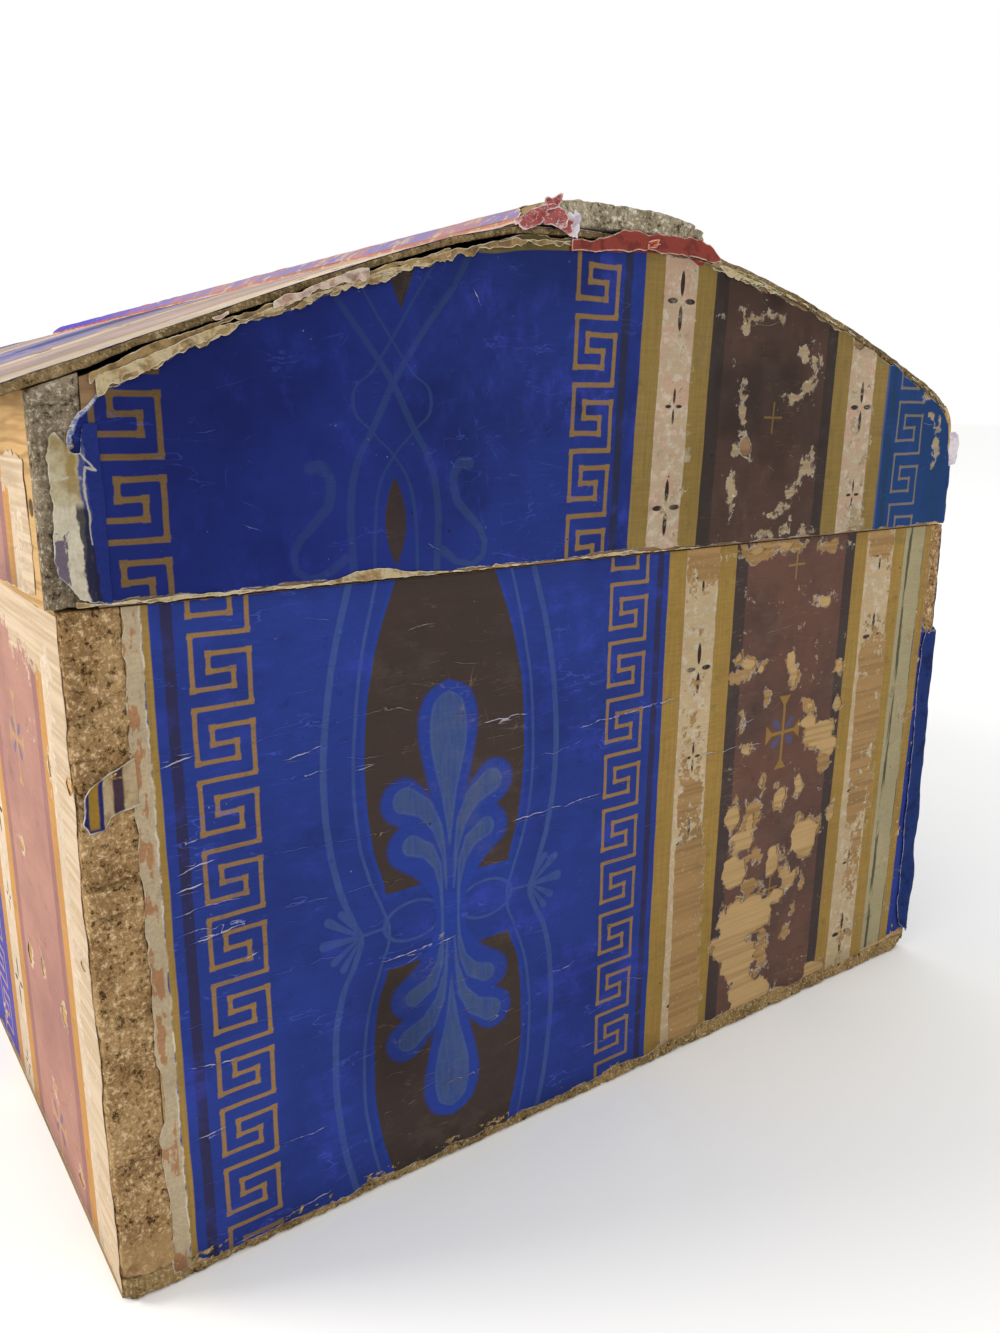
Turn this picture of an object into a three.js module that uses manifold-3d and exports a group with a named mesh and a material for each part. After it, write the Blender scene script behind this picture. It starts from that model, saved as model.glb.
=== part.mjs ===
// Dome top trunk: a pine box with an arched lid, covered in block-printed paper.
// Millimetres, +Z up, +X along the trunk, -Y the front (lock side), +Y the back (hinge side).
// Origin: centre of the footprint, on the surface that the trunk stands on.
import * as THREE from "three";
import { mergeVertices } from "three/addons/utils/BufferGeometryUtils.js";
import Module from "manifold-3d";

const wasm = await Module();
wasm.setup();

// ---------- driving dimensions ----------
const LENGTH = 800; // over the papers on both ends
const BASE_DEPTH = 500; // base, over the papers on front and back
const BASE_TOP = 274; // rim of the base
const LID_BOTTOM = 274.6; // rim of the lid: the seam
const GAP = 0.3; // between pieces that touch
const PAPER = 0.5; // paper with its paste
const BOARD = 20; // base boards
const BOTTOM = 10; // bottom boards
const BOTTOM_JOINT_Y = 60; // where the two bottom boards meet
const LID_FRONT_Y = -253; // the lid overhangs the base by 3 at the front
const RAIL = 16; // lid rails
const LID_END = 18; // arched end boards of the lid
const SKIN = 3.4; // thin bent boards of the dome
const SKIN_FRONT_Y = -260; // drip edge of the dome
const SKIN_BACK_Y = 240;
const BATTEN_X = 399.5; // half length of the crown batten
const BATTEN = [
  // section of the crown batten, y and z
  [-56, 412.8],
  [41, 412.8],
  [41, 417.5],
  [32, 421],
  [14, 423.7],
  [-34, 423.7],
  [-47, 421.5],
  [-56, 415.5],
];
// Outer profile of the dome over its paper, y and z, from the front drip edge to the back face.
const DOME = [
  [-260, 347.2],
  [-250, 350.9],
  [-235, 356.0],
  [-220, 361.4],
  [-195, 370.2],
  [-156, 384.0],
  [-117, 397.0],
  [-92, 404.6],
  [-64, 410.6],
  [-38, 412.2],
  [0, 412.3],
  [30, 411.0],
  [49, 408.4],
  [71, 404.1],
  [107, 394.9],
  [151, 381.2],
  [190, 366.5],
  [215, 356.4],
  [231, 349.4],
  [241, 342.6],
  [246.5, 336.0],
  [249, 328.0],
  [250, 318.0],
];
const HINGE_X = 235; // hinge centres, left and right of the middle
const HINGE_W = 70;
const HINGE_Y = 254.2; // pin axis, behind the back face
const HINGE_Z = 274.3;
const BARREL_R = 3.8;
const PIN_R = 1.6;
const LEAF = [250.3, 252.1]; // y of the leaf plates
const LOCK_X = 45; // half width of the lock case
const LOCK_Z = [214, 273.4];
const LOCK_Y = [-241, -227];
const BOLT_Z = [258, 268]; // the bolt, drawn back at rest; it slides 9 along +X into the staple
const FINGER_Y = [-235.9, -232.9];
const STAPLE_X = [-6, 0];
const STAPLE_LEGS = [-238, -236.6, -232.2, -230.8]; // y of the front leg, then of the back leg
const STAPLE_FOOT = 256.5;

const END = LENGTH / 2 - PAPER - GAP; // outer face of the end boards: 399.2
const FRONT = -BASE_DEPTH / 2 + PAPER + GAP; // outer face of the front board: -249.2
const BACK = -FRONT;

// ---------- materials ----------
const finish = {
  pine: { color: 0xb08a58, roughness: 0.85 },
  old_pine: { color: 0x8f7048, roughness: 0.9 },
  dome_pine: { color: 0x9c8456, roughness: 0.85 },
  blue_paper: { color: 0x1f2c8e, roughness: 0.7 },
  stripe_paper: { color: 0xa88a4e, roughness: 0.75 },
  red_paper: { color: 0x9c3a32, roughness: 0.7 },
  iron: { color: 0x3a342f, roughness: 0.6, metalness: 0.9 },
  brass: { color: 0x9a7a3c, roughness: 0.45, metalness: 1.0 },
};
const root = new THREE.Group();
root.name = "trunk";
const baseGroup = new THREE.Group();
baseGroup.name = "base";
const lidGroup = new THREE.Group();
lidGroup.name = "lid";
root.add(baseGroup, lidGroup);

// ---------- helpers ----------
function solid(geometry) {
  const g = geometry.clone();
  g.deleteAttribute("normal");
  g.deleteAttribute("uv");
  const m = mergeVertices(g, 1e-4);
  return new wasm.Manifold(
    new wasm.Mesh({
      numProp: 3,
      vertProperties: new Float32Array(m.attributes.position.array),
      triVerts: new Uint32Array(m.index.array),
    }),
  );
}
function geometryOf(manifold) {
  const m = manifold.getMesh();
  const v = new Float32Array(m.numVert * 3);
  for (let i = 0; i < m.numVert; i++)
    v.set(m.vertProperties.subarray(i * m.numProp, i * m.numProp + 3), i * 3);
  const g = new THREE.BufferGeometry();
  g.setAttribute("position", new THREE.BufferAttribute(v, 3));
  g.setIndex(new THREE.BufferAttribute(new Uint32Array(m.triVerts), 1));
  g.computeVertexNormals();
  return g;
}
function cut(geometry, ...cutters) {
  let s = solid(geometry);
  for (const c of cutters) s = s.subtract(solid(c));
  return geometryOf(s);
}
function join(...geometries) {
  let s = solid(geometries[0]);
  for (const g of geometries.slice(1)) s = s.add(solid(g));
  return geometryOf(s);
}
function box(x0, x1, y0, y1, z0, z1) {
  return new THREE.BoxGeometry(x1 - x0, y1 - y0, z1 - z0).translate(
    (x0 + x1) / 2,
    (y0 + y1) / 2,
    (z0 + z1) / 2,
  );
}
// A section in y and z, run along X from x0 to x1.
const ALONG_X = new THREE.Matrix4().makeBasis(
  new THREE.Vector3(0, 1, 0),
  new THREE.Vector3(0, 0, 1),
  new THREE.Vector3(1, 0, 0),
);
function run(points, x0, x1) {
  const shape = new THREE.Shape(points.map(([y, z]) => new THREE.Vector2(y, z)));
  return new THREE.ExtrudeGeometry(shape, {
    depth: x1 - x0,
    bevelEnabled: false,
  })
    .applyMatrix4(ALONG_X)
    .translate(x0, 0, 0);
}
function turned(points, segments = 8) {
  return new THREE.LatheGeometry(
    points.map(([r, h]) => new THREE.Vector2(r, h)),
    segments,
  );
}
function bar(r, x0, x1, y, z, n = 20) {
  return new THREE.CylinderGeometry(r, r, x1 - x0, n)
    .rotateZ(Math.PI / 2)
    .translate((x0 + x1) / 2, y, z);
}
function add(group, name, geometry, look) {
  const mesh = new THREE.Mesh(
    geometry,
    new THREE.MeshStandardMaterial({ metalness: 0, ...finish[look] }),
  );
  mesh.name = name;
  group.add(mesh);
  return mesh;
}

// ---------- dome profile ----------
const domeLine = new THREE.SplineCurve(
  DOME.map(([y, z]) => new THREE.Vector2(y, z)),
).getPoints(66);
// The profile moved inwards by d, between two values of y.
function inset(d, from, to) {
  const out = [];
  for (let i = 0; i < domeLine.length; i++) {
    const a = domeLine[Math.max(0, i - 1)],
      b = domeLine[Math.min(domeLine.length - 1, i + 1)];
    const t = b.clone().sub(a).normalize();
    out.push([domeLine[i].x + t.y * d, domeLine[i].y - t.x * d]);
  }
  const at = (y) => {
    let k = 1;
    while (k < out.length - 1 && out[k][0] < y) k++;
    const [p, q] = [out[k - 1], out[k]];
    return [y, p[1] + ((q[1] - p[1]) * (y - p[0])) / (q[0] - p[0])];
  };
  const inner = out.filter(([y]) => y > from + 1.5 && y < to - 1.5);
  return [at(from), ...inner, at(to)];
}
function band(d0, d1, from, to, x0, x1) {
  return run([...inset(d1, from, to), ...inset(d0, from, to).reverse()], x0, x1);
}

// ---------- nails ----------
// A cut nail of length h, head first, its head's top at 0 and its point at h.
function nailLine(r, head, h, grow = 0) {
  const g = grow;
  return [
    [0, -g * 4],
    [head + g, -g * 4],
    [head + g, 1.6 + g],
    [r + g, 1.6 + g],
    [r * 0.45 + g, h + g],
    [0, h + g],
  ];
}
const nails = [];
function nail(group, name, at, direction, r = 1.7, head = 3.2, h = 50) {
  const turn = new THREE.Quaternion().setFromUnitVectors(
    new THREE.Vector3(0, 1, 0),
    new THREE.Vector3(...direction),
  );
  const place = new THREE.Matrix4().compose(
    new THREE.Vector3(...at),
    turn,
    new THREE.Vector3(1, 1, 1),
  );
  const hole = turned(nailLine(r, head, h, GAP)).applyMatrix4(place);
  add(group, name, turned(nailLine(r, head, h)).applyMatrix4(place), "iron");
  nails.push(hole);
  return hole;
}

// ---------- base ----------
const holes = { front: [], back: [], left: [], right: [], rails: {} };
for (const [side, x] of [
  ["left", -1],
  ["right", 1],
])
  for (const [level, z] of [
    ["lower", 62],
    ["upper", 218],
  ]) {
    const cx = x * (END - BOARD / 2);
    holes[side].push(
      nail(baseGroup, `base_nail_front_${side}_${level}`, [cx, FRONT + 0.5, z], [0, 1, 0]),
      nail(baseGroup, `base_nail_back_${side}_${level}`, [cx, BACK - 0.5, z], [0, -1, 0]),
    );
  }
const cornerHoles = [...holes.left, ...holes.right];
const WALL0 = BOTTOM + GAP;

const lockPocket = box(
  -LOCK_X - 0.4,
  LOCK_X + 0.4,
  LOCK_Y[0] - 0.4,
  FRONT + BOARD + 1,
  LOCK_Z[0] - 0.4,
  BASE_TOP + 1,
);
function keyhole(y0, y1, r = 3.4, slot = 1.7, drop = 11) {
  const round = new THREE.CylinderGeometry(r, r, y1 - y0, 20).translate(
    0,
    (y0 + y1) / 2,
    248,
  );
  return [round, box(-slot, slot, y0, y1, 248 - drop, 248)];
}
add(
  baseGroup,
  "base_front_board",
  cut(
    box(-END, END, FRONT, FRONT + BOARD, WALL0, BASE_TOP),
    ...cornerHoles,
    lockPocket,
    ...keyhole(FRONT - 1, LOCK_Y[0]),
  ),
  "pine",
);
const hingeNailZ = [250, 296];
const hingeNails = [];
for (const [side, s] of [
  ["left", -1],
  ["right", 1],
])
  for (const [k, dx] of [
    ["outer", 22],
    ["inner", -22],
  ]) {
    const x = s * HINGE_X + s * dx;
    hingeNails.push(
      nail(baseGroup, `hinge_nail_base_${side}_${k}`, [x, LEAF[1] + 1.4, hingeNailZ[0]], [0, -1, 0], 1.5, 3.4, 19),
      nail(lidGroup, `hinge_nail_lid_${side}_${k}`, [x, LEAF[1] + 1.4, hingeNailZ[1]], [0, -1, 0], 1.5, 3.4, 16),
    );
  }
add(
  baseGroup,
  "base_back_board",
  cut(
    box(-END, END, BACK - BOARD, BACK, WALL0, BASE_TOP),
    ...cornerHoles,
    ...hingeNails,
  ),
  "pine",
);
for (const [side, s] of [
  ["left", -1],
  ["right", 1],
]) {
  const x = [s * END, s * (END - BOARD)].sort((a, b) => a - b);
  add(
    baseGroup,
    `base_${side}_end_board`,
    cut(
      box(x[0], x[1], FRONT + BOARD + GAP, BACK - BOARD - GAP, WALL0, BASE_TOP),
      ...holes[side],
    ),
    "pine",
  );
}
add(
  baseGroup,
  "bottom_front_board",
  box(-END, END, FRONT, BOTTOM_JOINT_Y - 0.2, 0, BOTTOM),
  "old_pine",
);
add(
  baseGroup,
  "bottom_back_board",
  box(-END, END, BOTTOM_JOINT_Y + 0.2, BACK, 0, BOTTOM),
  "old_pine",
);
const HALF = BASE_DEPTH / 2;
add(
  baseGroup,
  "base_front_paper",
  cut(
    box(-END, END, -HALF, -HALF + PAPER, 3, BASE_TOP),
    ...keyhole(-HALF - 1, -HALF + 1, 4, 2.3, 11.6),
  ),
  "stripe_paper",
);
add(
  baseGroup,
  "base_back_paper",
  cut(box(-END, END, HALF - PAPER, HALF, 3, BASE_TOP), ...hingeNails),
  "stripe_paper",
);
add(
  baseGroup,
  "base_right_end_paper",
  box(LENGTH / 2 - PAPER, LENGTH / 2, -229, 249, 3, BASE_TOP),
  "blue_paper",
);
add(
  baseGroup,
  "base_left_end_paper",
  box(-LENGTH / 2, -LENGTH / 2 + PAPER, -249, 249, 3, BASE_TOP),
  "blue_paper",
);

// ---------- lock in the front board ----------
const lockInner = box(
  -LOCK_X + 1.6,
  LOCK_X - 1.6,
  LOCK_Y[0] + 1.6,
  LOCK_Y[1] - 1.6,
  LOCK_Z[0] + 1.6,
  LOCK_Z[1] - 2,
);
add(
  baseGroup,
  "lock_case",
  cut(
    box(-LOCK_X, LOCK_X, LOCK_Y[0], LOCK_Y[1], LOCK_Z[0], LOCK_Z[1]),
    lockInner,
    // mouth for the staple, with room in front for the arc that it swings on
    box(STAPLE_X[0] - 1.2, STAPLE_X[1] + 1.2, LOCK_Y[0] + 1.8, STAPLE_LEGS[3] + 0.9, LOCK_Z[1] - 4, LOCK_Z[1] + 1),
    ...keyhole(LOCK_Y[0] - 1, LOCK_Y[0] + 2),
  ),
  "iron",
);
// The bolt slides along X, drawn back at rest. It is one bar with a finger that enters the staple.
add(
  baseGroup,
  "lock_bolt",
  join(
    box(-34, -18, -239, -231, ...BOLT_Z),
    box(-19, -8, ...FINGER_Y, 261, 266.5),
  ),
  "iron",
);
add(
  baseGroup,
  "lock_bolt_spring",
  run(
    [
      [-238.6, 256.4],
      [-231.4, 256.4],
      [-231.4, 257.6],
      [-238.6, 257.6],
    ],
    -43.1,
    -12,
  ),
  "iron",
);
add(
  baseGroup,
  "keyhole_escutcheon",
  cut(
    new THREE.CylinderGeometry(13, 13, 1.1, 36)
      .scale(0.72, 1, 1)
      .translate(0, -HALF - GAP - 0.55, 245),
    ...keyhole(-HALF - 3, -HALF + 1, 3.2, 1.5, 10.5),
  ),
  "brass",
);

// ---------- lid ----------
const RAIL_F = [LID_FRONT_Y + PAPER + GAP, LID_FRONT_Y + PAPER + GAP + RAIL];
const RAIL_B = [BACK - RAIL, BACK];
const lidNailHoles = { left: [], right: [] };
for (const [side, s] of [
  ["left", -1],
  ["right", 1],
]) {
  const cx = s * (END - LID_END / 2);
  lidNailHoles[side].push(
    nail(lidGroup, `lid_nail_front_${side}`, [cx, RAIL_F[0] + 0.5, 308], [0, 1, 0], 1.6, 3, 42),
    nail(lidGroup, `lid_nail_back_${side}`, [cx, RAIL_B[1] - 0.5, 302], [0, -1, 0], 1.6, 3, 42),
  );
}
const lidHoles = [...lidNailHoles.left, ...lidNailHoles.right];
const UNDER = PAPER + GAP + SKIN; // paper and dome board above what carries them
function topLine(extra, from, to) {
  return inset(UNDER + extra, from, to);
}
add(
  lidGroup,
  "lid_front_rail",
  cut(
    run(
      [
        [RAIL_F[0], LID_BOTTOM],
        [RAIL_F[1], LID_BOTTOM],
        ...topLine(0.4, RAIL_F[0], RAIL_F[1]).reverse(),
      ],
      -END,
      END,
    ),
    ...lidHoles,
    box(-26.4, 26.4, RAIL_F[0] + 4, RAIL_F[1] + 1, LID_BOTTOM - 1, LID_BOTTOM + 2.1),
  ),
  "pine",
);
// The back rail carries the dome board's edge, then follows the rounded corner under the paper.
add(
  lidGroup,
  "lid_back_rail",
  cut(
    run(
      [
        [RAIL_B[0], LID_BOTTOM],
        [RAIL_B[1], LID_BOTTOM],
        [RAIL_B[1], 317.5],
        ...inset(PAPER + GAP, SKIN_BACK_Y + 0.4, 248.6).reverse(),
        ...topLine(0.4, RAIL_B[0], SKIN_BACK_Y + 0.4).reverse(),
      ],
      -END,
      END,
    ),
    ...lidHoles,
    ...hingeNails,
  ),
  "pine",
);
for (const [side, s] of [
  ["left", -1],
  ["right", 1],
]) {
  const x = [s * END, s * (END - LID_END)].sort((a, b) => a - b);
  const y0 = RAIL_F[1] + GAP,
    y1 = RAIL_B[0] - GAP;
  // The arch stands a little short of the dome board along the front slope, which leaves the open gap there.
  const arch = topLine(0.4, y0, y1).map(([y, z]) => [
    y,
    z - 1.5 * THREE.MathUtils.smoothstep(-y, 55, 95),
  ]);
  add(
    lidGroup,
    `lid_${side}_end_board`,
    cut(
      run([[y0, LID_BOTTOM], [y1, LID_BOTTOM], ...arch.reverse()], x[0], x[1]),
      ...lidNailHoles[side],
    ),
    "pine",
  );
}
const battenNails = [-330, 0, 330].map((x, i) =>
  nail(lidGroup, `batten_nail_${["left", "middle", "right"][i]}`, [x, -8, 423.2], [0, 0, -1], 1.5, 3, 14),
);
// The two dome boards meet under the batten, at y = -18, so the nails at y = -8 hold the back one.
const CREST_Y = -18;
add(
  lidGroup,
  "dome_front_panel",
  band(PAPER + GAP, UNDER, SKIN_FRONT_Y + 0.4, CREST_Y - 0.2, -END, END),
  "dome_pine",
);
add(
  lidGroup,
  "dome_back_panel",
  cut(
    band(PAPER + GAP, UNDER, CREST_Y + 0.2, SKIN_BACK_Y, -END, END),
    ...battenNails,
  ),
  "dome_pine",
);
add(
  lidGroup,
  "dome_front_paper",
  band(0, PAPER, SKIN_FRONT_Y, CREST_Y - 0.2, -END, END),
  "stripe_paper",
);
add(
  lidGroup,
  "dome_back_paper",
  cut(
    band(0, PAPER, CREST_Y + 0.2, SKIN_BACK_Y - 0.3, -END, END),
    ...battenNails,
  ),
  "stripe_paper",
);
add(
  lidGroup,
  "crown_batten",
  cut(run(BATTEN, -BATTEN_X, BATTEN_X), ...battenNails),
  "old_pine",
);
// The crown paper laps over the batten's top and both sides.
{
  const grow = (d) => {
    const n = BATTEN.length,
      out = [];
    for (let i = 1; i < n + 1; i++) {
      const p = BATTEN[i % n],
        a = BATTEN[(i - 1) % n],
        b = BATTEN[(i + 1) % n];
      const t = new THREE.Vector2(b[0] - a[0], b[1] - a[1]).normalize();
      out.push([p[0] + t.y * d, p[1] - t.x * d]);
    }
    // from the bottom of the back side, over the top, to the bottom of the front side
    out[0] = [BATTEN[1][0] + d, 412.9];
    out[n - 1] = [BATTEN[0][0] - d, 412.9];
    return out;
  };
  add(
    lidGroup,
    "crown_paper",
    run([...grow(GAP + PAPER), ...grow(GAP).reverse()], -END, END - 7),
    "red_paper",
  );
}
add(
  lidGroup,
  "lid_front_paper",
  box(-END, END, LID_FRONT_Y, LID_FRONT_Y + PAPER, LID_BOTTOM + 0.4, 342),
  "stripe_paper",
);
add(
  lidGroup,
  "lid_back_paper",
  cut(
    run(
      [
        [HALF - PAPER, LID_BOTTOM + 0.4],
        [HALF, LID_BOTTOM + 0.4],
        [HALF, 318],
        ...inset(0, SKIN_BACK_Y + 0.3, 249.4).reverse(),
        ...inset(PAPER, SKIN_BACK_Y + 0.3, 248.9),
        [HALF - PAPER, 317.8],
      ],
      -END,
      END,
    ),
    ...hingeNails,
  ),
  "stripe_paper",
);
for (const [side, s] of [
  ["left", -1],
  ["right", 1],
]) {
  const x = [s * (LENGTH / 2), s * (LENGTH / 2 - PAPER)].sort((a, b) => a - b);
  add(
    lidGroup,
    `lid_${side}_end_paper`,
    run(
      [
        [-251, LID_BOTTOM + 0.4],
        [249, LID_BOTTOM + 0.4],
        [249, 317.5],
        ...inset(1.2, 232, 248.4).reverse(),
        ...inset(UNDER + 1.5, -251, 231).reverse(),
      ],
      x[0],
      x[1],
    ),
    "blue_paper",
  );
}
// Staple plate let into the underside of the front rail, with the loop that the bolt enters. The
// loop's two legs stand one behind the other, so its hole is open along X.
add(
  lidGroup,
  "lock_staple",
  cut(
    join(
      box(-26, 26, RAIL_F[0] + 4.4, RAIL_F[1] - 0.2, LID_BOTTOM, LID_BOTTOM + 1.8),
      box(...STAPLE_X, RAIL_F[1] - 6, STAPLE_LEGS[3], LID_BOTTOM, LID_BOTTOM + 1.8),
      box(...STAPLE_X, STAPLE_LEGS[0], STAPLE_LEGS[3], STAPLE_FOOT, LID_BOTTOM + 0.9),
    ),
    box(
      STAPLE_X[0] - 1,
      STAPLE_X[1] + 1,
      STAPLE_LEGS[1],
      STAPLE_LEGS[2],
      STAPLE_FOOT + 2.5,
      LID_BOTTOM - 0.4,
    ),
  ),
  "iron",
);

// ---------- hinges ----------
const SEG = HINGE_W / 5;
for (const [side, s] of [
  ["left", -1],
  ["right", 1],
]) {
  const c = s * HINGE_X,
    x0 = c - HINGE_W / 2;
  const bore = bar(PIN_R + 0.3, x0 - 2, x0 + HINGE_W + 2, HINGE_Y, HINGE_Z);
  const seg = (i) => [x0 + i * SEG + 0.25, x0 + (i + 1) * SEG - 0.25];
  const knuckles = (list, z0, z1) =>
    list.flatMap((i) => [
      bar(BARREL_R, ...seg(i), HINGE_Y, HINGE_Z),
      box(...seg(i), LEAF[0], LEAF[1] + 0.6, z0, z1),
    ]);
  // base leaf: plate below the seam, knuckles 1, 3 and 5
  add(
    baseGroup,
    `hinge_${side}_base_leaf`,
    cut(
      join(
        box(x0, x0 + HINGE_W, LEAF[0], LEAF[1], 234, HINGE_Z - 4.6),
        ...knuckles([0, 2, 4], HINGE_Z - 5, HINGE_Z - 0.2),
      ),
      bore,
      ...hingeNails,
    ),
    "iron",
  );
  // lid leaf: plate above the seam, knuckles 2 and 4, each with the heel that stops the lid
  add(
    lidGroup,
    `hinge_${side}_lid_leaf`,
    cut(
      join(
        box(x0, x0 + HINGE_W, LEAF[0], LEAF[1], HINGE_Z + 4.6, 314),
        ...knuckles([1, 3], HINGE_Z + 0.2, HINGE_Z + 5),
        box(...seg(1), HINGE_Y + 2, HINGE_Y + 5.8, HINGE_Z - 0.3, HINGE_Z + 2),
        box(...seg(3), HINGE_Y + 2, HINGE_Y + 5.8, HINGE_Z - 0.3, HINGE_Z + 2),
      ),
      bore,
      ...hingeNails,
    ),
    "iron",
  );
  add(
    baseGroup,
    `hinge_${side}_pin`,
    bar(PIN_R, x0 - 0.8, x0 + HINGE_W + 0.8, HINGE_Y, HINGE_Z),
    "iron",
  );
}

export default root;
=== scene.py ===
"""Looks of the papered dome top trunk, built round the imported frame. Metres, same frame as the CAD."""

import math

import bpy
import bmesh
import numpy as np
from mathutils import Matrix, Vector


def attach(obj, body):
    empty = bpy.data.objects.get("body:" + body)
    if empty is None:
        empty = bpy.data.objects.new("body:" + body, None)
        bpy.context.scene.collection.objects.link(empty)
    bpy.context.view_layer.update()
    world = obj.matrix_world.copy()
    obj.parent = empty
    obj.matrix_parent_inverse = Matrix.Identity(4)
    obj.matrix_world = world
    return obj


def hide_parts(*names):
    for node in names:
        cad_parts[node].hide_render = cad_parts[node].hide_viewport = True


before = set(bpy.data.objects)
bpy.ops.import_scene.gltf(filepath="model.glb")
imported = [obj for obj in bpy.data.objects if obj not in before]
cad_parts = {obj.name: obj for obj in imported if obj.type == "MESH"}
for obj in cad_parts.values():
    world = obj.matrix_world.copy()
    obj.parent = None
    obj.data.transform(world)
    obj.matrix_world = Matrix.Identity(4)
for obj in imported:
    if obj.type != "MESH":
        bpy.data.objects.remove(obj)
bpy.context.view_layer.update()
scene = bpy.context.scene

# ---------------------------------------------------------------- camera
cam_data = bpy.data.cameras.new("camera")
cam = bpy.data.objects.new("camera", cam_data)
scene.collection.objects.link(cam)
RIGHT = Vector((0.5752, 0.8180, 0.0)).normalized()
LOOK = Vector((-0.7954, 0.5593, -0.2333)).normalized()
UP = RIGHT.cross(LOOK).normalized()
RIGHT = LOOK.cross(UP).normalized()
cam.matrix_world = Matrix(
    (
        (RIGHT.x, UP.x, -LOOK.x, 0.7632),
        (RIGHT.y, UP.y, -LOOK.y, -0.3274),
        (RIGHT.z, UP.z, -LOOK.z, 0.3384),
        (0, 0, 0, 1),
    )
)
cam_data.sensor_fit = "AUTO"
cam_data.sensor_width = 36.0
cam_data.lens = 1059.65 / 1333 * 36
cam_data.clip_start, cam_data.clip_end = 0.02, 60
scene.camera = cam
scene.view_settings.view_transform = "Standard"
scene.view_settings.look = "None"


# ---------------------------------------------------------------- seeded noise in numpy
def lattice(shape, seed):
    return np.random.default_rng(seed).random(shape) * 2 - 1


_LAT = {s: lattice((64, 64), 1000 + s) for s in range(24)}


def noise2(a, b, scale, seed=0, octaves=3):
    """Smooth value noise in -1..1 at points (a, b), with features about `scale` wide."""
    out, amp, tot = np.zeros_like(np.asarray(a, float)), 1.0, 0.0
    for o in range(octaves):
        L = _LAT[(seed + o * 5) % 24]
        x, y = np.asarray(a, float) / scale * 2**o + 13.7 * seed, np.asarray(b, float) / scale * 2**o + 7.3 * seed
        i, j = np.floor(x).astype(int), np.floor(y).astype(int)
        f, g = x - i, y - j
        f, g = f * f * (3 - 2 * f), g * g * (3 - 2 * g)
        i0, i1, j0, j1 = i % 64, (i + 1) % 64, j % 64, (j + 1) % 64
        out += amp * ((L[i0, j0] * (1 - f) + L[i1, j0] * f) * (1 - g) + (L[i0, j1] * (1 - f) + L[i1, j1] * f) * g)
        tot += amp
        amp *= 0.55
    return out / tot * 1.5


def sstep(a, b, x):
    t = np.clip((x - a) / (b - a), 0, 1)
    return t * t * (3 - 2 * t)


# ---------------------------------------------------------------- colours
def lin(c):
    return c / 12.92 if c <= 0.04045 else ((c + 0.055) / 1.055) ** 2.4


def rgb(r, g, b):
    return (lin(r / 255), lin(g / 255), lin(b / 255), 1.0)


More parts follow.
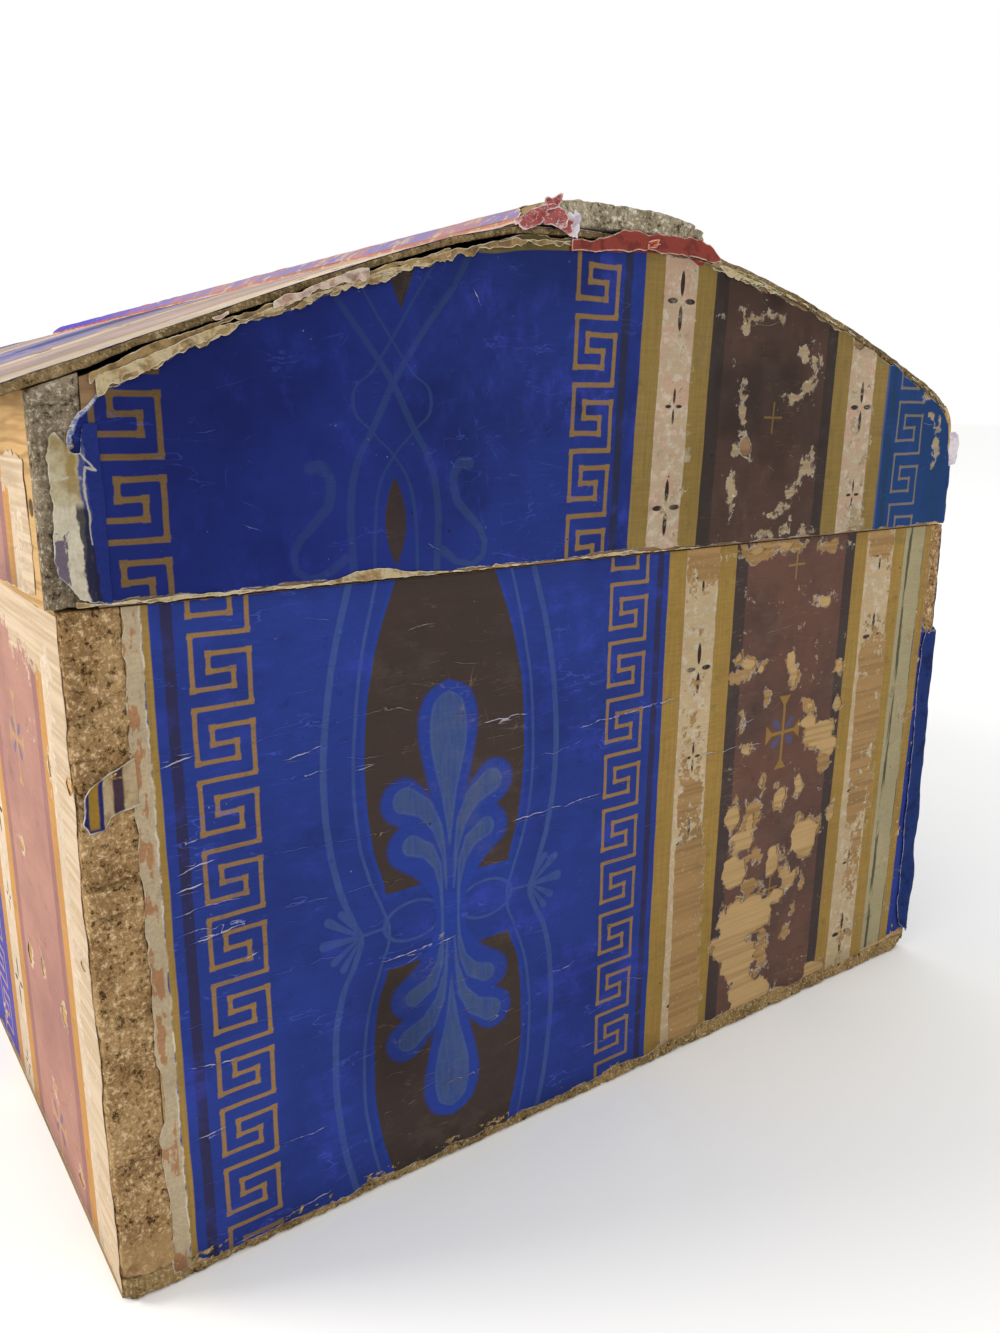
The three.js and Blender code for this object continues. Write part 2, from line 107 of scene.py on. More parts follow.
# ---------------------------------------------------------------- shader expressions
class Net:
    """Writes a material's node tree from arithmetic on X values."""

    def __init__(self, name):
        self.mat = bpy.data.materials.new(name)
        self.mat.use_nodes = True
        self.nt = self.mat.node_tree
        self.nt.nodes.clear()
        self.out = self.nt.nodes.new("ShaderNodeOutputMaterial")
        self.bsdf = self.nt.nodes.new("ShaderNodeBsdfPrincipled")
        self.nt.links.new(self.bsdf.outputs[0], self.out.inputs[0])

    def node(self, kind, **settings):
        n = self.nt.nodes.new(kind)
        for k, v in settings.items():
            setattr(n, k, v)
        return n

    def put(self, socket, value):
        if isinstance(value, X):
            value = value.s
        if isinstance(value, bpy.types.NodeSocket):
            self.nt.links.new(value, socket)
        else:
            socket.default_value = value

    def math(self, op, *args, clamp=False):
        n = self.node("ShaderNodeMath", operation=op, use_clamp=clamp)
        for i, a in enumerate(args):
            self.put(n.inputs[i], a)
        return X(self, n.outputs[0])

    def attr(self, name, vector=False):
        n = self.node("ShaderNodeAttribute", attribute_name=name)
        return n.outputs["Vector"] if vector else X(self, n.outputs["Fac"])

    def split(self, vec):
        n = self.node("ShaderNodeSeparateXYZ")
        self.nt.links.new(vec, n.inputs[0])
        return [X(self, o) for o in n.outputs]

    def vec(self, x, y, z=0.0):
        n = self.node("ShaderNodeCombineXYZ")
        for i, a in enumerate((x, y, z)):
            self.put(n.inputs[i], a)
        return n.outputs[0]

    def place(self):
        """The piece's own rest coordinates, in millimetres."""
        tc = self.node("ShaderNodeTexCoord")
        m = self.node("ShaderNodeVectorMath", operation="SCALE")
        self.nt.links.new(tc.outputs["Object"], m.inputs[0])
        m.inputs["Scale"].default_value = 1000.0
        return m.outputs[0]

    def noise(self, vec, size, detail=3.0, rough=0.55, stretch=(1, 1, 1), offset=0.0):
        """About 0..1, centred on 0.5, with features `size` millimetres wide."""
        m = self.node("ShaderNodeMapping")
        self.nt.links.new(vec, m.inputs[0])
        m.inputs["Scale"].default_value = tuple(1.0 / (size * s) for s in stretch)
        m.inputs["Location"].default_value = (offset, offset * 1.7, offset * 0.6)
        n = self.node("ShaderNodeTexNoise")
        self.nt.links.new(m.outputs[0], n.inputs["Vector"])
        n.inputs["Scale"].default_value = 1.0
        n.inputs["Detail"].default_value = detail
        n.inputs["Roughness"].default_value = rough
        return X(self, n.outputs[0])

    def cells(self, vec, size, stretch=(1, 1, 1), feature="F1"):
        m = self.node("ShaderNodeMapping")
        self.nt.links.new(vec, m.inputs[0])
        m.inputs["Scale"].default_value = tuple(1.0 / (size * s) for s in stretch)
        n = self.node("ShaderNodeTexVoronoi", feature=feature)
        self.nt.links.new(m.outputs[0], n.inputs["Vector"])
        n.inputs["Scale"].default_value = 1.0
        return X(self, n.outputs["Distance"])

    def curve(self, x, points, lo, hi):
        """A smooth curve through (x, value) points; lo..hi is the range of x."""
        top = max(abs(v) for _, v in points) * 1.02
        n = self.node("ShaderNodeFloatCurve")
        self.put(n.inputs["Value"], (x - lo) / (hi - lo))
        c = n.mapping.curves[0]
        pts = sorted((min(1, max(0, (a - lo) / (hi - lo))), 0.5 + 0.5 * v / top) for a, v in points)
        while len(c.points) < len(pts):
            c.points.new(0.5, 0.5)
        for p, (a, v) in zip(c.points, pts):
            p.location = (a, v)
            p.handle_type = "AUTO"
        n.mapping.update()
        return (X(self, n.outputs[0]) - 0.5) * (2 * top)

    def mix(self, a, b, f):
        n = self.node("ShaderNodeMix", data_type="RGBA")
        self.put(n.inputs[0], f)
        self.put(n.inputs[6], a)
        self.put(n.inputs[7], b)
        return n.outputs[2]

    def shade(self, col, amount):
        """col multiplied by the value `amount`."""
        n = self.node("ShaderNodeMix", data_type="RGBA", blend_type="MULTIPLY")
        n.inputs[0].default_value = 1.0
        self.put(n.inputs[6], col)
        c = self.node("ShaderNodeCombineColor")
        for i in range(3):
            self.put(c.inputs[i], amount)
        self.put(n.inputs[7], c.outputs[0])
        return n.outputs[2]

    def finish(self, col, rough=0.8, height=None, bump=0.4, metal=0.0, specular=0.3):
        self.put(self.bsdf.inputs["Base Color"], col)
        self.put(self.bsdf.inputs["Roughness"], rough)
        self.bsdf.inputs["Metallic"].default_value = metal
        self.bsdf.inputs["Specular IOR Level"].default_value = specular
        if height is not None:
            b = self.node("ShaderNodeBump")
            b.inputs["Strength"].default_value = bump
            b.inputs["Distance"].default_value = 0.001
            self.put(b.inputs["Height"], height)
            self.nt.links.new(b.outputs[0], self.bsdf.inputs["Normal"])
        return self.mat


class X:
    def __init__(self, net, s):
        self.net, self.s = net, s

    def _m(self, op, *a, **k):
        return self.net.math(op, *a, **k)

    def __add__(self, o): return self._m("ADD", self, o)
    __radd__ = __add__
    def __sub__(self, o): return self._m("SUBTRACT", self, o)
    def __rsub__(self, o): return self._m("SUBTRACT", o, self)
    def __mul__(self, o): return self._m("MULTIPLY", self, o)
    __rmul__ = __mul__
    def __truediv__(self, o): return self._m("DIVIDE", self, o)
    def __neg__(self): return self._m("MULTIPLY", self, -1.0)
    def abs(self): return self._m("ABSOLUTE", self)
    def sqrt(self): return self._m("SQRT", self)
    def mod(self, o): return self._m("FLOORED_MODULO", self, o)
    def min(self, o): return self._m("MINIMUM", self, o)
    def max(self, o): return self._m("MAXIMUM", self, o)
    def lt(self, o): return self._m("LESS_THAN", self, o)
    def gt(self, o): return self._m("GREATER_THAN", self, o)
    def clamp(self): return self._m("ADD", self, 0.0, clamp=True)

    def soft(self, a, b):
        """0 at a, 1 at b, smooth between."""
        n = self.net.node("ShaderNodeMapRange", interpolation_type="SMOOTHSTEP")
        self.net.put(n.inputs["Value"], self)
        n.inputs["From Min"].default_value, n.inputs["From Max"].default_value = (a, b) if a < b else (b, a)
        n.inputs["To Min"].default_value, n.inputs["To Max"].default_value = (0, 1) if a < b else (1, 0)
        return X(self.net, n.outputs[0])


def ink(d, w=0.22):
    """Mask of the inside of a signed distance in millimetres, with a soft printed edge."""
    return d.soft(w, -w)


def band(u, a, b, w=0.3):
    return ink((u - (a + b) / 2).abs() - (b - a) / 2, w)


def ellipse(a, b, ra, rb):
    return (a * a * (1 / ra**2) + b * b * (1 / rb**2)).sqrt() - 1.0


def capsule(a, b, p, q, rp, rq):
    """Signed distance to a tapered stroke from p to q."""
    dx, dy = q[0] - p[0], q[1] - p[1]
    L2 = dx * dx + dy * dy
    x, y = a - p[0], b - p[1]
    t = ((x * dx + y * dy) * (1 / L2)).clamp()
    ex, ey = x - t * dx, y - t * dy
    return (ex * ex + ey * ey).sqrt() - (t * (rq - rp) + rp)


# ---------------------------------------------------------------- the printed pattern
FRESH = dict(
    blue=rgb(34, 51, 120), navy=rgb(21, 32, 84), gold=rgb(134, 103, 54), mustard=rgb(140, 112, 56),
    cream=rgb(168, 148, 114), pink=rgb(164, 136, 108), brown=rgb(94, 66, 56), plum=rgb(56, 48, 46),
    maroon=rgb(42, 37, 60), oval=rgb(58, 47, 43), grey_blue=rgb(60, 80, 126), bright=rgb(33, 55, 132), dark=rgb(44, 32, 30),
    white=rgb(196, 188, 172), wood=rgb(164, 132, 90), rub=rgb(70, 88, 184),
)
LIDINK = dict(
    FRESH, blue=rgb(29, 45, 112), navy=rgb(18, 27, 76), gold=rgb(126, 98, 50), brown=rgb(74, 54, 46), plum=rgb(50, 42, 39),
    mustard=rgb(124, 102, 54), cream=rgb(160, 142, 116), pink=rgb(166, 134, 114), grey_blue=rgb(46, 66, 104), oval=rgb(50, 40, 40), maroon=rgb(34, 36, 52),
)
FADED = dict(
    FRESH, blue=rgb(70, 68, 158), navy=rgb(48, 50, 120), gold=rgb(172, 138, 94), mustard=rgb(178, 130, 70), cream=rgb(192, 174, 148),
    pink=rgb(190, 162, 140), brown=rgb(164, 120, 106), plum=rgb(138, 96, 92), maroon=rgb(94, 72, 92), white=rgb(222, 212, 196),
    wood=rgb(196, 168, 126), oval=rgb(92, 66, 62), rub=rgb(120, 118, 190),
)


def greek_key(u, t, pitch, h=1.05):
    """u from 0 to 24 across the band, t from 0 to pitch downwards from a long bar; inner corners are filled round."""
    c0, c1, c2, c3 = 1.06, 7.3, 16.5, 22.9
    r1, r2, r3 = 0.262 * pitch, 0.497 * pitch, 0.735 * pitch

    def bar(row, a, b):
        return ((t - row).abs() - h).max((u - (a + b) / 2).abs() - ((b - a) / 2 + h))

    def post(col, a, b):
        return ((u - col).abs() - h).max((t - (a + b) / 2).abs() - ((b - a) / 2 + h))

    d = bar(0.0, c0, c3)
    for s in (
        bar(pitch, c0, c3), bar(r1, c1, c3), bar(r2, c1, c2), bar(r3, c0, c2),
        post(c0, 0, r3), post(c3, r1, pitch), post(c1, r1, r2), post(c2, r2, r3),
    ):
        k = (1.1 - (d - s).abs()).max(0.0)
        d = d.min(s) - k * k * (1 / 4.4)
    return d


def petals(a, b, k):
    up = ellipse(a, b.abs() - 7.5 * k, 1.25 * k, 5.4 * k)
    side = ellipse(a.abs() - 5.4 * k, b, 3.1 * k, 1.25 * k)
    return up.min(side) * (2.0 * k)


def chain(a, b, pts):
    """Signed distance to a tapered stroke through points (x, y, radius)."""
    d = None
    for p, q in zip(pts, pts[1:]):
        c = capsule(a, b, p[:2], q[:2], p[2], q[2])
        d = c if d is None else d.min(c)
    return d


def pine_tone(n, p, base, dark, grain=0, ring=7.0, dirty=0.4, long=16.0):
    """Colour of pine with its grain along axis 0, 1 or 2, and its fine and broad relief."""
    st = [1.0, 1.0, 1.0]
    st[grain] = long
    warp = n.noise(p, ring, 2.0, stretch=st)
    fine = n.noise(p, 1.1, 4.0, 0.6, stretch=st, offset=2.0)
    blotch = n.noise(p, 60, 3.0, offset=5.0)
    lines = warp.soft(0.42, 0.56) * (1 - warp.soft(0.56, 0.62))
    col = n.mix(base, dark, lines * 0.55)
    col = n.shade(col, fine * 0.5 + 0.74)
    return n.shade(col, 1.0 - blotch.soft(0.5, 0.8) * dirty), fine, warp


def wallpaper(name, L, C, wear=0.5, lid=False):
    """The block-printed paper. L places the bands in paper millimetres, C is its set of inks."""
    n = Net(name)
    pap = n.attr("pap", vector=True)
    u0, v0, _ = n.split(pap)
    # a hand-printed waver
    wob = n.noise(pap, 26, 2.0)
    wob2 = n.noise(pap, 22, 2.0, offset=5.0)
    u = u0 + (wob - 0.5) * 1.1
    v = v0 + (wob2 - 0.5) * 1.1
    if L.get("repeat"):
        u = (u - L["repeat_from"]).mod(L["repeat"]) + L["repeat_from"]
    grain = n.noise(pap, 1.3, 4.0, 0.65)
    mottle = n.noise(pap, 46, 4.0, 0.6, offset=3.0)
    col = n.mix(C["blue"], C["navy"], mottle.soft(0.42, 0.78) * L.get("navy", 0.55))

    # medallion column
    warm = u * 0.0
    m = L.get("medallion")
    if m:
        w = (u - m["u"]).abs()
        vm = v if not m.get("pitch") else ((v - m["v"] + m["pitch"] / 2).mod(m["pitch"]) + (m["v"] - m["pitch"] / 2))
        z = vm - m["v"] + 123.5
        av = (z - 123.5).abs()
        half = n.curve(z, [(-14, 24), (0, 30), (10, 33), (35, 38.5), (62, 40), (90, 37.5), (107, 32), (125, 31), (142, 32),
                           (165, 38), (207, 40), (240, 35.5), (269, 26), (280, 21)], -14, 280)
        halo = ink(w - half - 1.8, 0.6) * (av - 15.4).soft(-0.5, 0.5)
        col = n.mix(col, C["bright"], halo * 0.8)
        oval = ink(w - half, 0.4) * (av - 17.5).soft(-0.6, 0.6)
        col = n.mix(col, C["oval"], oval)
        warm = warm.max(oval)
        thick = n.curve(z, [(-14, 46), (7, 51), (36, 56.5), (75, 58), (100, 54), (115, 47), (123.5, 44.5), (132, 47.5),
                            (158, 55.5), (191, 58.5), (232, 55), (269, 46), (280, 42)], -14, 280)
        thin = n.curve(z, [(-14, 33), (2, 37), (22, 41.5), (52, 45), (86, 42.5), (108, 35.5), (123.5, 31), (135, 34),
                           (150, 39.5), (168, 44), (205, 45), (242, 40.5), (269, 34), (280, 31)], -14, 280)
        lines = ink((w - thick).abs() - 1.5).max(ink((w - thin).abs() - 0.75))
        ring = ink((ellipse(w - 19.0, z - 125.6, 14.4, 8.8).abs() * 11.0) - 0.8)
        sprig = ink(capsule(w, z - 125.5, (61, 0.6), (44, 0.0), 2.3, 0.8)).max(ink(capsule(w, z - 125.5, (59, 10.5), (46, 1.0), 2.0, 0.6)))
        sprig = sprig.max(ink(capsule(w, (z - 125.5).abs(), (53, 12.5), (45, 1.6), 1.6, 0.5))).max(ink(capsule(w, z - 125.5, (57, -8), (46, -1.0), 1.7, 0.6)))
        sprig = sprig.max(ink(capsule(w, z - 125.5, (45, 0), (33, 0.4), 0.7, 0.6)))
        brush = n.noise(pap, 1.9, 3.0, 0.6, stretch=(1, 8, 1), offset=9.0)
        col = n.mix(col, C["grey_blue"], lines.max(ring).max(sprig) * (brush * 0.7 + 0.22))
        pv = av * ((z - 123.5).lt(0.0) * 0.05 + 1.0)
        club = w - n.curve(pv, [(0, 3.4), (16, 3.8), (32, 5.0), (48, 7.4), (61, 9.9), (75, 13.0), (88, 14.6), (97, 12.6), (103, 8.0), (106.4, 0.0), (112, -10.0)], 0, 160)
        upper = chain(w, pv, [(23.5, 57.3, 9.7), (13.0, 48.0, 8.6), (5.5, 31.0, 6.0), (2.5, 14.0, 3.4)])
        lower = chain(w, pv, [(21.0, 36.2, 9.6), (11.5, 27.5, 8.2), (4.5, 12.0, 4.6), (3.0, 2.0, 4.2)])
        leaf = club.min(upper).min(lower)
        col = n.mix(col, C["blue"], ink(leaf - 1.0, 0.8) * 0.5)
        col = n.mix(col, C["bright"], ink(leaf, 0.35) * 0.92)
        seam = ink(((upper.max(lower)).abs() - 0.25).max(leaf), 0.5).max(ink((club.max(upper).abs() - 0.25), 0.5))
        col = n.mix(col, C["blue"], seam * 0.55)
        heart = w - n.curve(pv, [(0, -1.0), (28, -0.6), (34, 0.6), (45, 2.1), (58, 4.3), (70, 7.4), (84, 9.4), (94, 8.3), (99, 5.0), (101.7, 0.0), (108, -8.0)], 0, 160)
        heart = heart.min(chain(w, pv, [(22.0, 57.3, 5.9), (12.5, 52.0, 4.5), (6.2, 42.0, 2.8), (3.0, 28.0, 1.1), (1.9, 12.0, 0.5)]))
        heart = heart.min(chain(w, pv, [(19.2, 36.5, 4.7), (11.3, 32.4, 3.7), (6.3, 24.0, 2.1), (4.5, 12.5, 1.0), (4.1, 0.0, 0.65)]))
        col = n.mix(col, n.mix(C["grey_blue"], rgb(54, 68, 96), 0.45), ink(heart + (brush - 0.5) * 1.2, 0.6) * (brush * 2.2 - 0.26).clamp())
        col = n.mix(col, n.mix(C["grey_blue"], C["rub"], 0.35), ink((heart + 0.7).abs() - 0.35, 0.4) * (brush * 0.8))

    s = L.get("strap")
    if s:
        w = (u - s["u"]).abs()
        strap = n.curve(v, [(274, 18.5), (284, 19), (302, 19.5), (319, 16.2), (333, 8.5), (349, 0), (363, -10), (377, -21), (390, -31), (410, -40)], 270, 412)
        thin = n.curve(v, [(274, 9.5), (297, 9), (310, 7), (322, 0), (331, -9), (343, -17), (353, -9), (365, 0), (380, 10), (395, 20), (410, 27)], 270, 412)
        lines = ink((w - strap.abs()).abs() - 1.6, 0.4).max(ink((w - thin.abs()).abs() - 0.75))
        scroll = ink(chain(w, v, [(35.5, 318.5, 2.4), (31.0, 319.0, 2.2), (27.6, 314.8, 2.0), (27.2, 309.5, 2.0), (29.0, 303.5, 2.0), (34.0, 298.5, 1.9),
                                  (40.5, 292.5, 1.7), (43.5, 286.3, 1.5), (42.5, 280.5, 1.3), (37.0, 277.2, 1.3), (28.6, 279.0, 1.4), (22.0, 284.0, 2.0)]), 0.5)
        col = n.mix(col, C["grey_blue"], lines.max(scroll) * 0.62)
        lens = w - ((v - 296.9) * (v - 296.9) * (-4.7 / 17.5**2) + 4.7)
        wedge = (u - s["u"] - 4.5).abs() - (v - 376.0) * 0.42
        drop = ink(lens, 0.3).max(ink(wedge.max(-(v - 376.0)), 0.3))
        col = n.mix(col, C["oval"], drop)
        warm = warm.max(drop)

    # key bands: the band that u falls in gives the offset, then one key is drawn
    keys = L["keys"]
    ku, kt = u - keys[0][0], None
    pitch = keys[0][2]
    top = keys[0][1]
    for a, b in zip(keys, keys[1:]):
        side = u.gt((a[0] + b[0]) / 2 + 12)
        ku = ku + side * (a[0] - b[0])
        top = side * (b[1] - a[1]) + top
    kt = (top - v).mod(pitch)
    key = ink(greek_key(ku, kt, pitch, L.get("key_h", 0.9)) + u.gt(430.0) * L.get("thin_key", 0.0) + (grain - 0.5) * 0.4, 0.25)
    for a, b in L.get("dark", []):
        col = n.mix(col, C["maroon"], band(u, a, b) * 0.88)
    col = n.mix(col, n.mix(C["gold"], rgb(112, 110, 92), u.gt(430.0) * L.get("thin_key", 0.0) * 2.0), key * (grain * 0.6 + 0.62).clamp() * (1.0 - u.gt(430.0) * L.get("thin_key", 0.0) * 0.4))

    # stripes
    rub = n.noise(pap, 9, 5.0, 0.62, offset=1.0)
    for a, b in L["brown"]:
        area = band(u, a, b)
        tone = n.mix(C["brown"], C["plum"], mottle.soft(0.35, 0.75) * 0.6)
        tone = n.mix(tone, C["plum"], (band(u, a, a + 9).max(band(u, b - 8, b))) * 0.9)
        col = n.mix(col, tone, area)
        warm = warm.max(area)
    for a, b in L["mustard"]:
        thread = n.noise(pap, 1.1, 3.0, stretch=(1, 26, 1), offset=2.0)
        across = n.noise(pap, 1.2, 3.0, stretch=(22, 1, 1), offset=53.0)
        tone = n.shade(C["mustard"], thread * 0.5 + across * 0.3 + 0.56)
        tone = n.mix(tone, rgb(84, 82, 48), n.noise(pap, 15, 5.0, 0.65, offset=55.0).soft(0.58, 0.74) * 0.5)
        col = n.mix(col, tone, band(u, a, b))
        warm = warm.max(band(u, a, b))
    for a, b in L["cream"]:
        tone = n.mix(C["cream"], C["pink"], rub.soft(0.4, 0.62) * L.get("pinkness", 0.6))
        tone = n.mix(tone, n.shade(C["white"], 0.86), n.noise(pap, 5, 5.0, 0.68, offset=8.0).soft(0.5, 0.64) * 0.55)
        col = n.mix(col, tone, band(u + (rub - 0.5) * 1.0, a, b))
        warm = warm.max(band(u, a, b))
    for a, b in L.get("olive", []):
        col = n.mix(col, n.shade(rgb(146, 136, 104), grain * 0.3 + mottle * 0.3 + 0.68), band(u, a, b))
        warm = warm.max(band(u, a, b))
    for a, b in L.get("hair", []):
        col = n.mix(col, rgb(52, 50, 42), band(u + (rub - 0.5) * 1.4, a, b) * n.noise(pap, 13, 3.0, 0.6, stretch=(0.2, 2.4, 1), offset=83.0).soft(0.40, 0.52) * 0.85)
    for a, b in L.get("pale", []):
        col = n.mix(col, rgb(86, 96, 112), band(u, a, b) * 0.5)
    for uc, vc in L.get("petals", []):
        a = u - uc
        big = petals(a, (v - vc + 46).mod(92.0) - 46.0, 1.0)
        small = petals(a, (v - vc).mod(92.0) - 46.0, 0.62)
        col = n.mix(col, C["dark"], ink(big.min(small), 0.3) * (rub.soft(0.3, 0.5) * 0.3 + 0.7))
    for uc, vc in L.get("crosses", []):
        a = (u - uc).abs()
        b = ((v - vc + 91.5).mod(183.0) - 91.5).abs()
        arm = ((a - 0.9 - (b - 15.5).max(0.0) * 0.75).max(b - 20.5)).min(((b - 0.9 - (a - 9.0).max(0.0) * 0.95).max(a - 13.6)))
        leaf = ink(capsule(a, b, (6.5, 6.0), (3.0, 2.6), 2.1, 1.0))
        col = n.mix(col, C["grey_blue"], leaf * 0.6)
        col = n.mix(col, C["gold"], ink(arm, 0.3) * 0.92)
        b2 = (v - vc).mod(183.0) - 91.5
        plus = ((a - 0.55).max(b2.abs() - 7.6)).min((b2.abs() - 0.55).max(a - 6.4))
        col = n.mix(col, C["gold"], ink(plus, 0.25) * 0.8)
    if L.get("residue") is not None:
        scraped = n.mix(rgb(162, 146, 118), rgb(148, 108, 76), n.noise(pap, 11, 4.0, 0.6, stretch=(0.6, 1.6, 1), offset=57.0).soft(0.53, 0.57) * (u0 - 25.4).soft(0.6, -0.6))
        scraped = n.shade(scraped, grain * 0.5 + rub * 0.4 + 0.56)
        edge = L["residue"]
        rag = u0 - edge + (n.noise(pap, 6, 5.0, 0.65, stretch=(1, 1.5, 1), offset=59.0) - 0.5) * 3.4
        col = n.mix(col, scraped, rag.soft(0.25, -0.25))
        warm = warm.max(rag.soft(0.25, -0.25))
        col = n.mix(col, rgb(196, 186, 168), (rag.abs() - 0.25).soft(0.3, -0.1) * rub.soft(0.42, 0.56) * 0.8)
    if L.get("above"):
        # strips of the dome's and the crown's papers that lap down over the top of the end
        line = n.curve(u0, L["above"], 0, 500)
        lap = (v0 - line).soft(-0.3, 0.3)
        red = band(u0, 213, 292, 0.4)
        lapcol = n.mix(rgb(112, 98, 52), rgb(134, 46, 36), red)
        lapcol = n.shade(lapcol, rub * 0.6 + 0.68)
        col = n.mix(col, lapcol, lap * band(u0, 168, 292, 0.6))

    # ageing: printed ink rubbed thin, soot, chips and dust
    rubbed = n.mix(C["rub"], rgb(142, 122, 104), warm)
    haze = n.noise(pap, 15, 7.0, 0.70, stretch=L.get("haze", (1.5, 1, 1)), offset=71.0)
    haze = haze.soft(0.48, 0.68) * n.noise(pap, 48, 2.0, offset=73.0).soft(0.38, 0.62)
    col = n.mix(col, n.mix(rgb(50, 62, 158), rgb(120, 108, 92), warm), haze * (0.5 - warm * 0.38) * (1 - key * 0.75))
    col = n.mix(col, n.mix(rgb(14, 22, 58), rgb(40, 34, 30), warm), n.noise(pap, 11, 6.0, 0.68, offset=75.0).soft(0.56, 0.74) * 0.34)
    col = n.shade(col, n.noise(pap, 70, 4.0, 0.62, offset=12.0) * 0.5 + 0.74)
    col = n.shade(col, grain * 0.28 + 0.86)
    col = n.shade(col, 1.0 - n.attr("dirt") * 0.62)
    col = n.mix(col, rubbed, n.noise(pap, 3.2, 4.0, 0.7, offset=6.0).soft(0.66, 0.8) * (n.noise(pap, 30, 2.0, offset=4.0)).soft(0.5, 0.72) * L.get("dust", 0.5))
    weave = n.noise(pap, 1.0, 3.0, 0.5, stretch=(12, 1, 1), offset=51.0)
    col = n.shade(col, weave * 0.24 + 0.88)
    # hair creases across the sheet, then the longer cracks
    crease = ((n.noise(pap, 12, 4.0, 0.56, stretch=(4.5, 1, 1), offset=61.0) - 0.5).abs()).soft(0.008, 0.001)
    crease = crease * n.noise(pap, 20, 3.0, 0.6, stretch=(1.7, 1, 1), offset=63.0).soft(0.52, 0.64)
    col = n.mix(col, rubbed, crease * (1 - warm * 0.6) * L.get("creases", 0.5))
    jag = (n.noise(pap, 4.5, 2.0, 0.5, offset=19.0) - 0.5) * 1.6
    crk = (n.attr("crk") + jag).abs()
    crw = n.attr("crw") * (n.noise(pap, 4.0, 3.0, 0.6, offset=41.0) * 2.2 - 0.25).clamp()
    crack = (crk - crw * 0.17).soft(0.15, -0.05) * crw.gt(0.05)
    col = n.shade(col, 1.0 - (crk - crw * 1.2).soft(0.7, -0.4) * crw.gt(0.06) * 0.14)
    col = n.mix(col, n.mix(rubbed, n.mix(C["white"], C["rub"], 0.4), crw.soft(0.3, 1.0)), crack * (crw * 0.7 + 0.2).clamp())
    scr = (n.attr("scr") + jag * 0.25).abs()
    scw = n.attr("scw") * n.noise(pap, 9, 3.0, 0.6, offset=43.0).soft(0.36, 0.7)
    col = n.mix(col, rubbed, (scr - scw * 0.12).soft(0.24, -0.08) * scw.gt(0.03) * scw * 0.5)
    if L.get("teal"):
        col = n.mix(col, rgb(16, 60, 92), (u0 - L["teal"]).soft(-1.0, 1.0) * (1 - key) * (1 - warm) * 0.55)
    if L.get("deep"):
        lo, hi, amount = L["deep"]
        col = n.mix(col, rgb(12, 22, 92), (u0 - (lo + hi) / 2).soft((hi - lo) / 2, (lo - hi) / 2) * (1 - key) * (1 - warm) * amount)
    # the print flaked off down to the paste and the wood
    flake = n.attr("flake")
    frac = n.noise(pap, 6.0, 8.0, 0.74, offset=31.0)
    broad = n.noise(pap, 17.0, 4.0, 0.6, offset=37.0)
    left_ = (((frac - 0.5) + (broad - 0.5) * 0.5 + 0.28) - flake * 0.5) * 24.0
    left_ = left_.min(n.attr("bare") - 0.1 + (frac - 0.5) * 14.0 + (n.noise(pap, 9.0, 3.0, 0.6, offset=39.0) - 0.5) * 14.0)
    gone = left_.soft(0.3, -0.3)
    pine, _, _ = pine_tone(n, n.place(), *L.get("pine", (rgb(148, 117, 76), rgb(120, 92, 56))), L.get("grain", 0), 6.0, 0.2, 40.0)
    pine = n.mix(pine, C["white"], n.noise(pap, 2.6, 4.0, 0.65, offset=65.0).soft(0.60, 0.70) * L.get("paste", 0.4))
    ragged = n.noise(pap, 7.0, 3.0, 0.6, offset=23.0)
    col = n.mix(col, n.mix(C["white"], C["cream"], 0.3), left_.soft(1.3, 0.2) * ragged.soft(0.42, 0.62) * 0.7)
    col = n.mix(col, pine, gone)
    fleck = n.noise(pap, 2.0, 4.0, 0.66, offset=15.0).soft(0.69, 0.73) * n.noise(pap, 26, 2.0, offset=17.0).soft(0.46, 0.66)
    col = n.mix(col, C["white"], fleck * wear * 0.8)
    spot = n.cells(pap, 17.0)
    col = n.mix(col, rgb(24, 20, 18), spot.soft(0.045, 0.028) * ragged.soft(0.5, 0.56) * 0.85)
    tear = n.attr("tear") + (n.noise(pap, 1.8, 3.0, 0.6, offset=21.0) - 0.5) * 1.0
    if L.get("fuzzy_corner"):
        fuzz = (u0 - 20.0).soft(4.0, -4.0) * (v0 - 326.0).soft(-6.0, 6.0)
        ravel = n.noise(pap, 1.7, 4.0, 0.7, offset=81.0)
        col = n.mix(col, n.mix(rgb(104, 112, 156), rgb(190, 190, 196), ravel.soft(0.4, 0.6)), (tear - fuzz * 1.5 + (ravel - 0.5) * 3.4).soft(0.7, -0.1) * fuzz * 0.85)
    for uc, vc, ru, rv, tone in L.get("chips", []):
        col = n.mix(col, tone, (ellipse(u0 - uc, v0 - vc, ru, rv) * min(ru, rv) + (frac - 0.5) * 9.0).soft(0.3, -0.3) * 0.9)
    col = n.mix(col, n.mix(C["white"], C["cream"], 0.35), tear.soft(L.get("rim", 0.55), 0.10) * (ragged.soft(0.4, 0.6) * 0.7 + 0.12) * (1 - gone))
    height = grain * 0.10 + n.noise(pap, 5.0, 3.0) * 0.22 - crack * 0.3 - gone * 0.22 - crease * 0.06 + weave * 0.05
    return n.finish(col, rough=grain * 0.18 + 0.62, height=height, bump=0.5, specular=0.10)


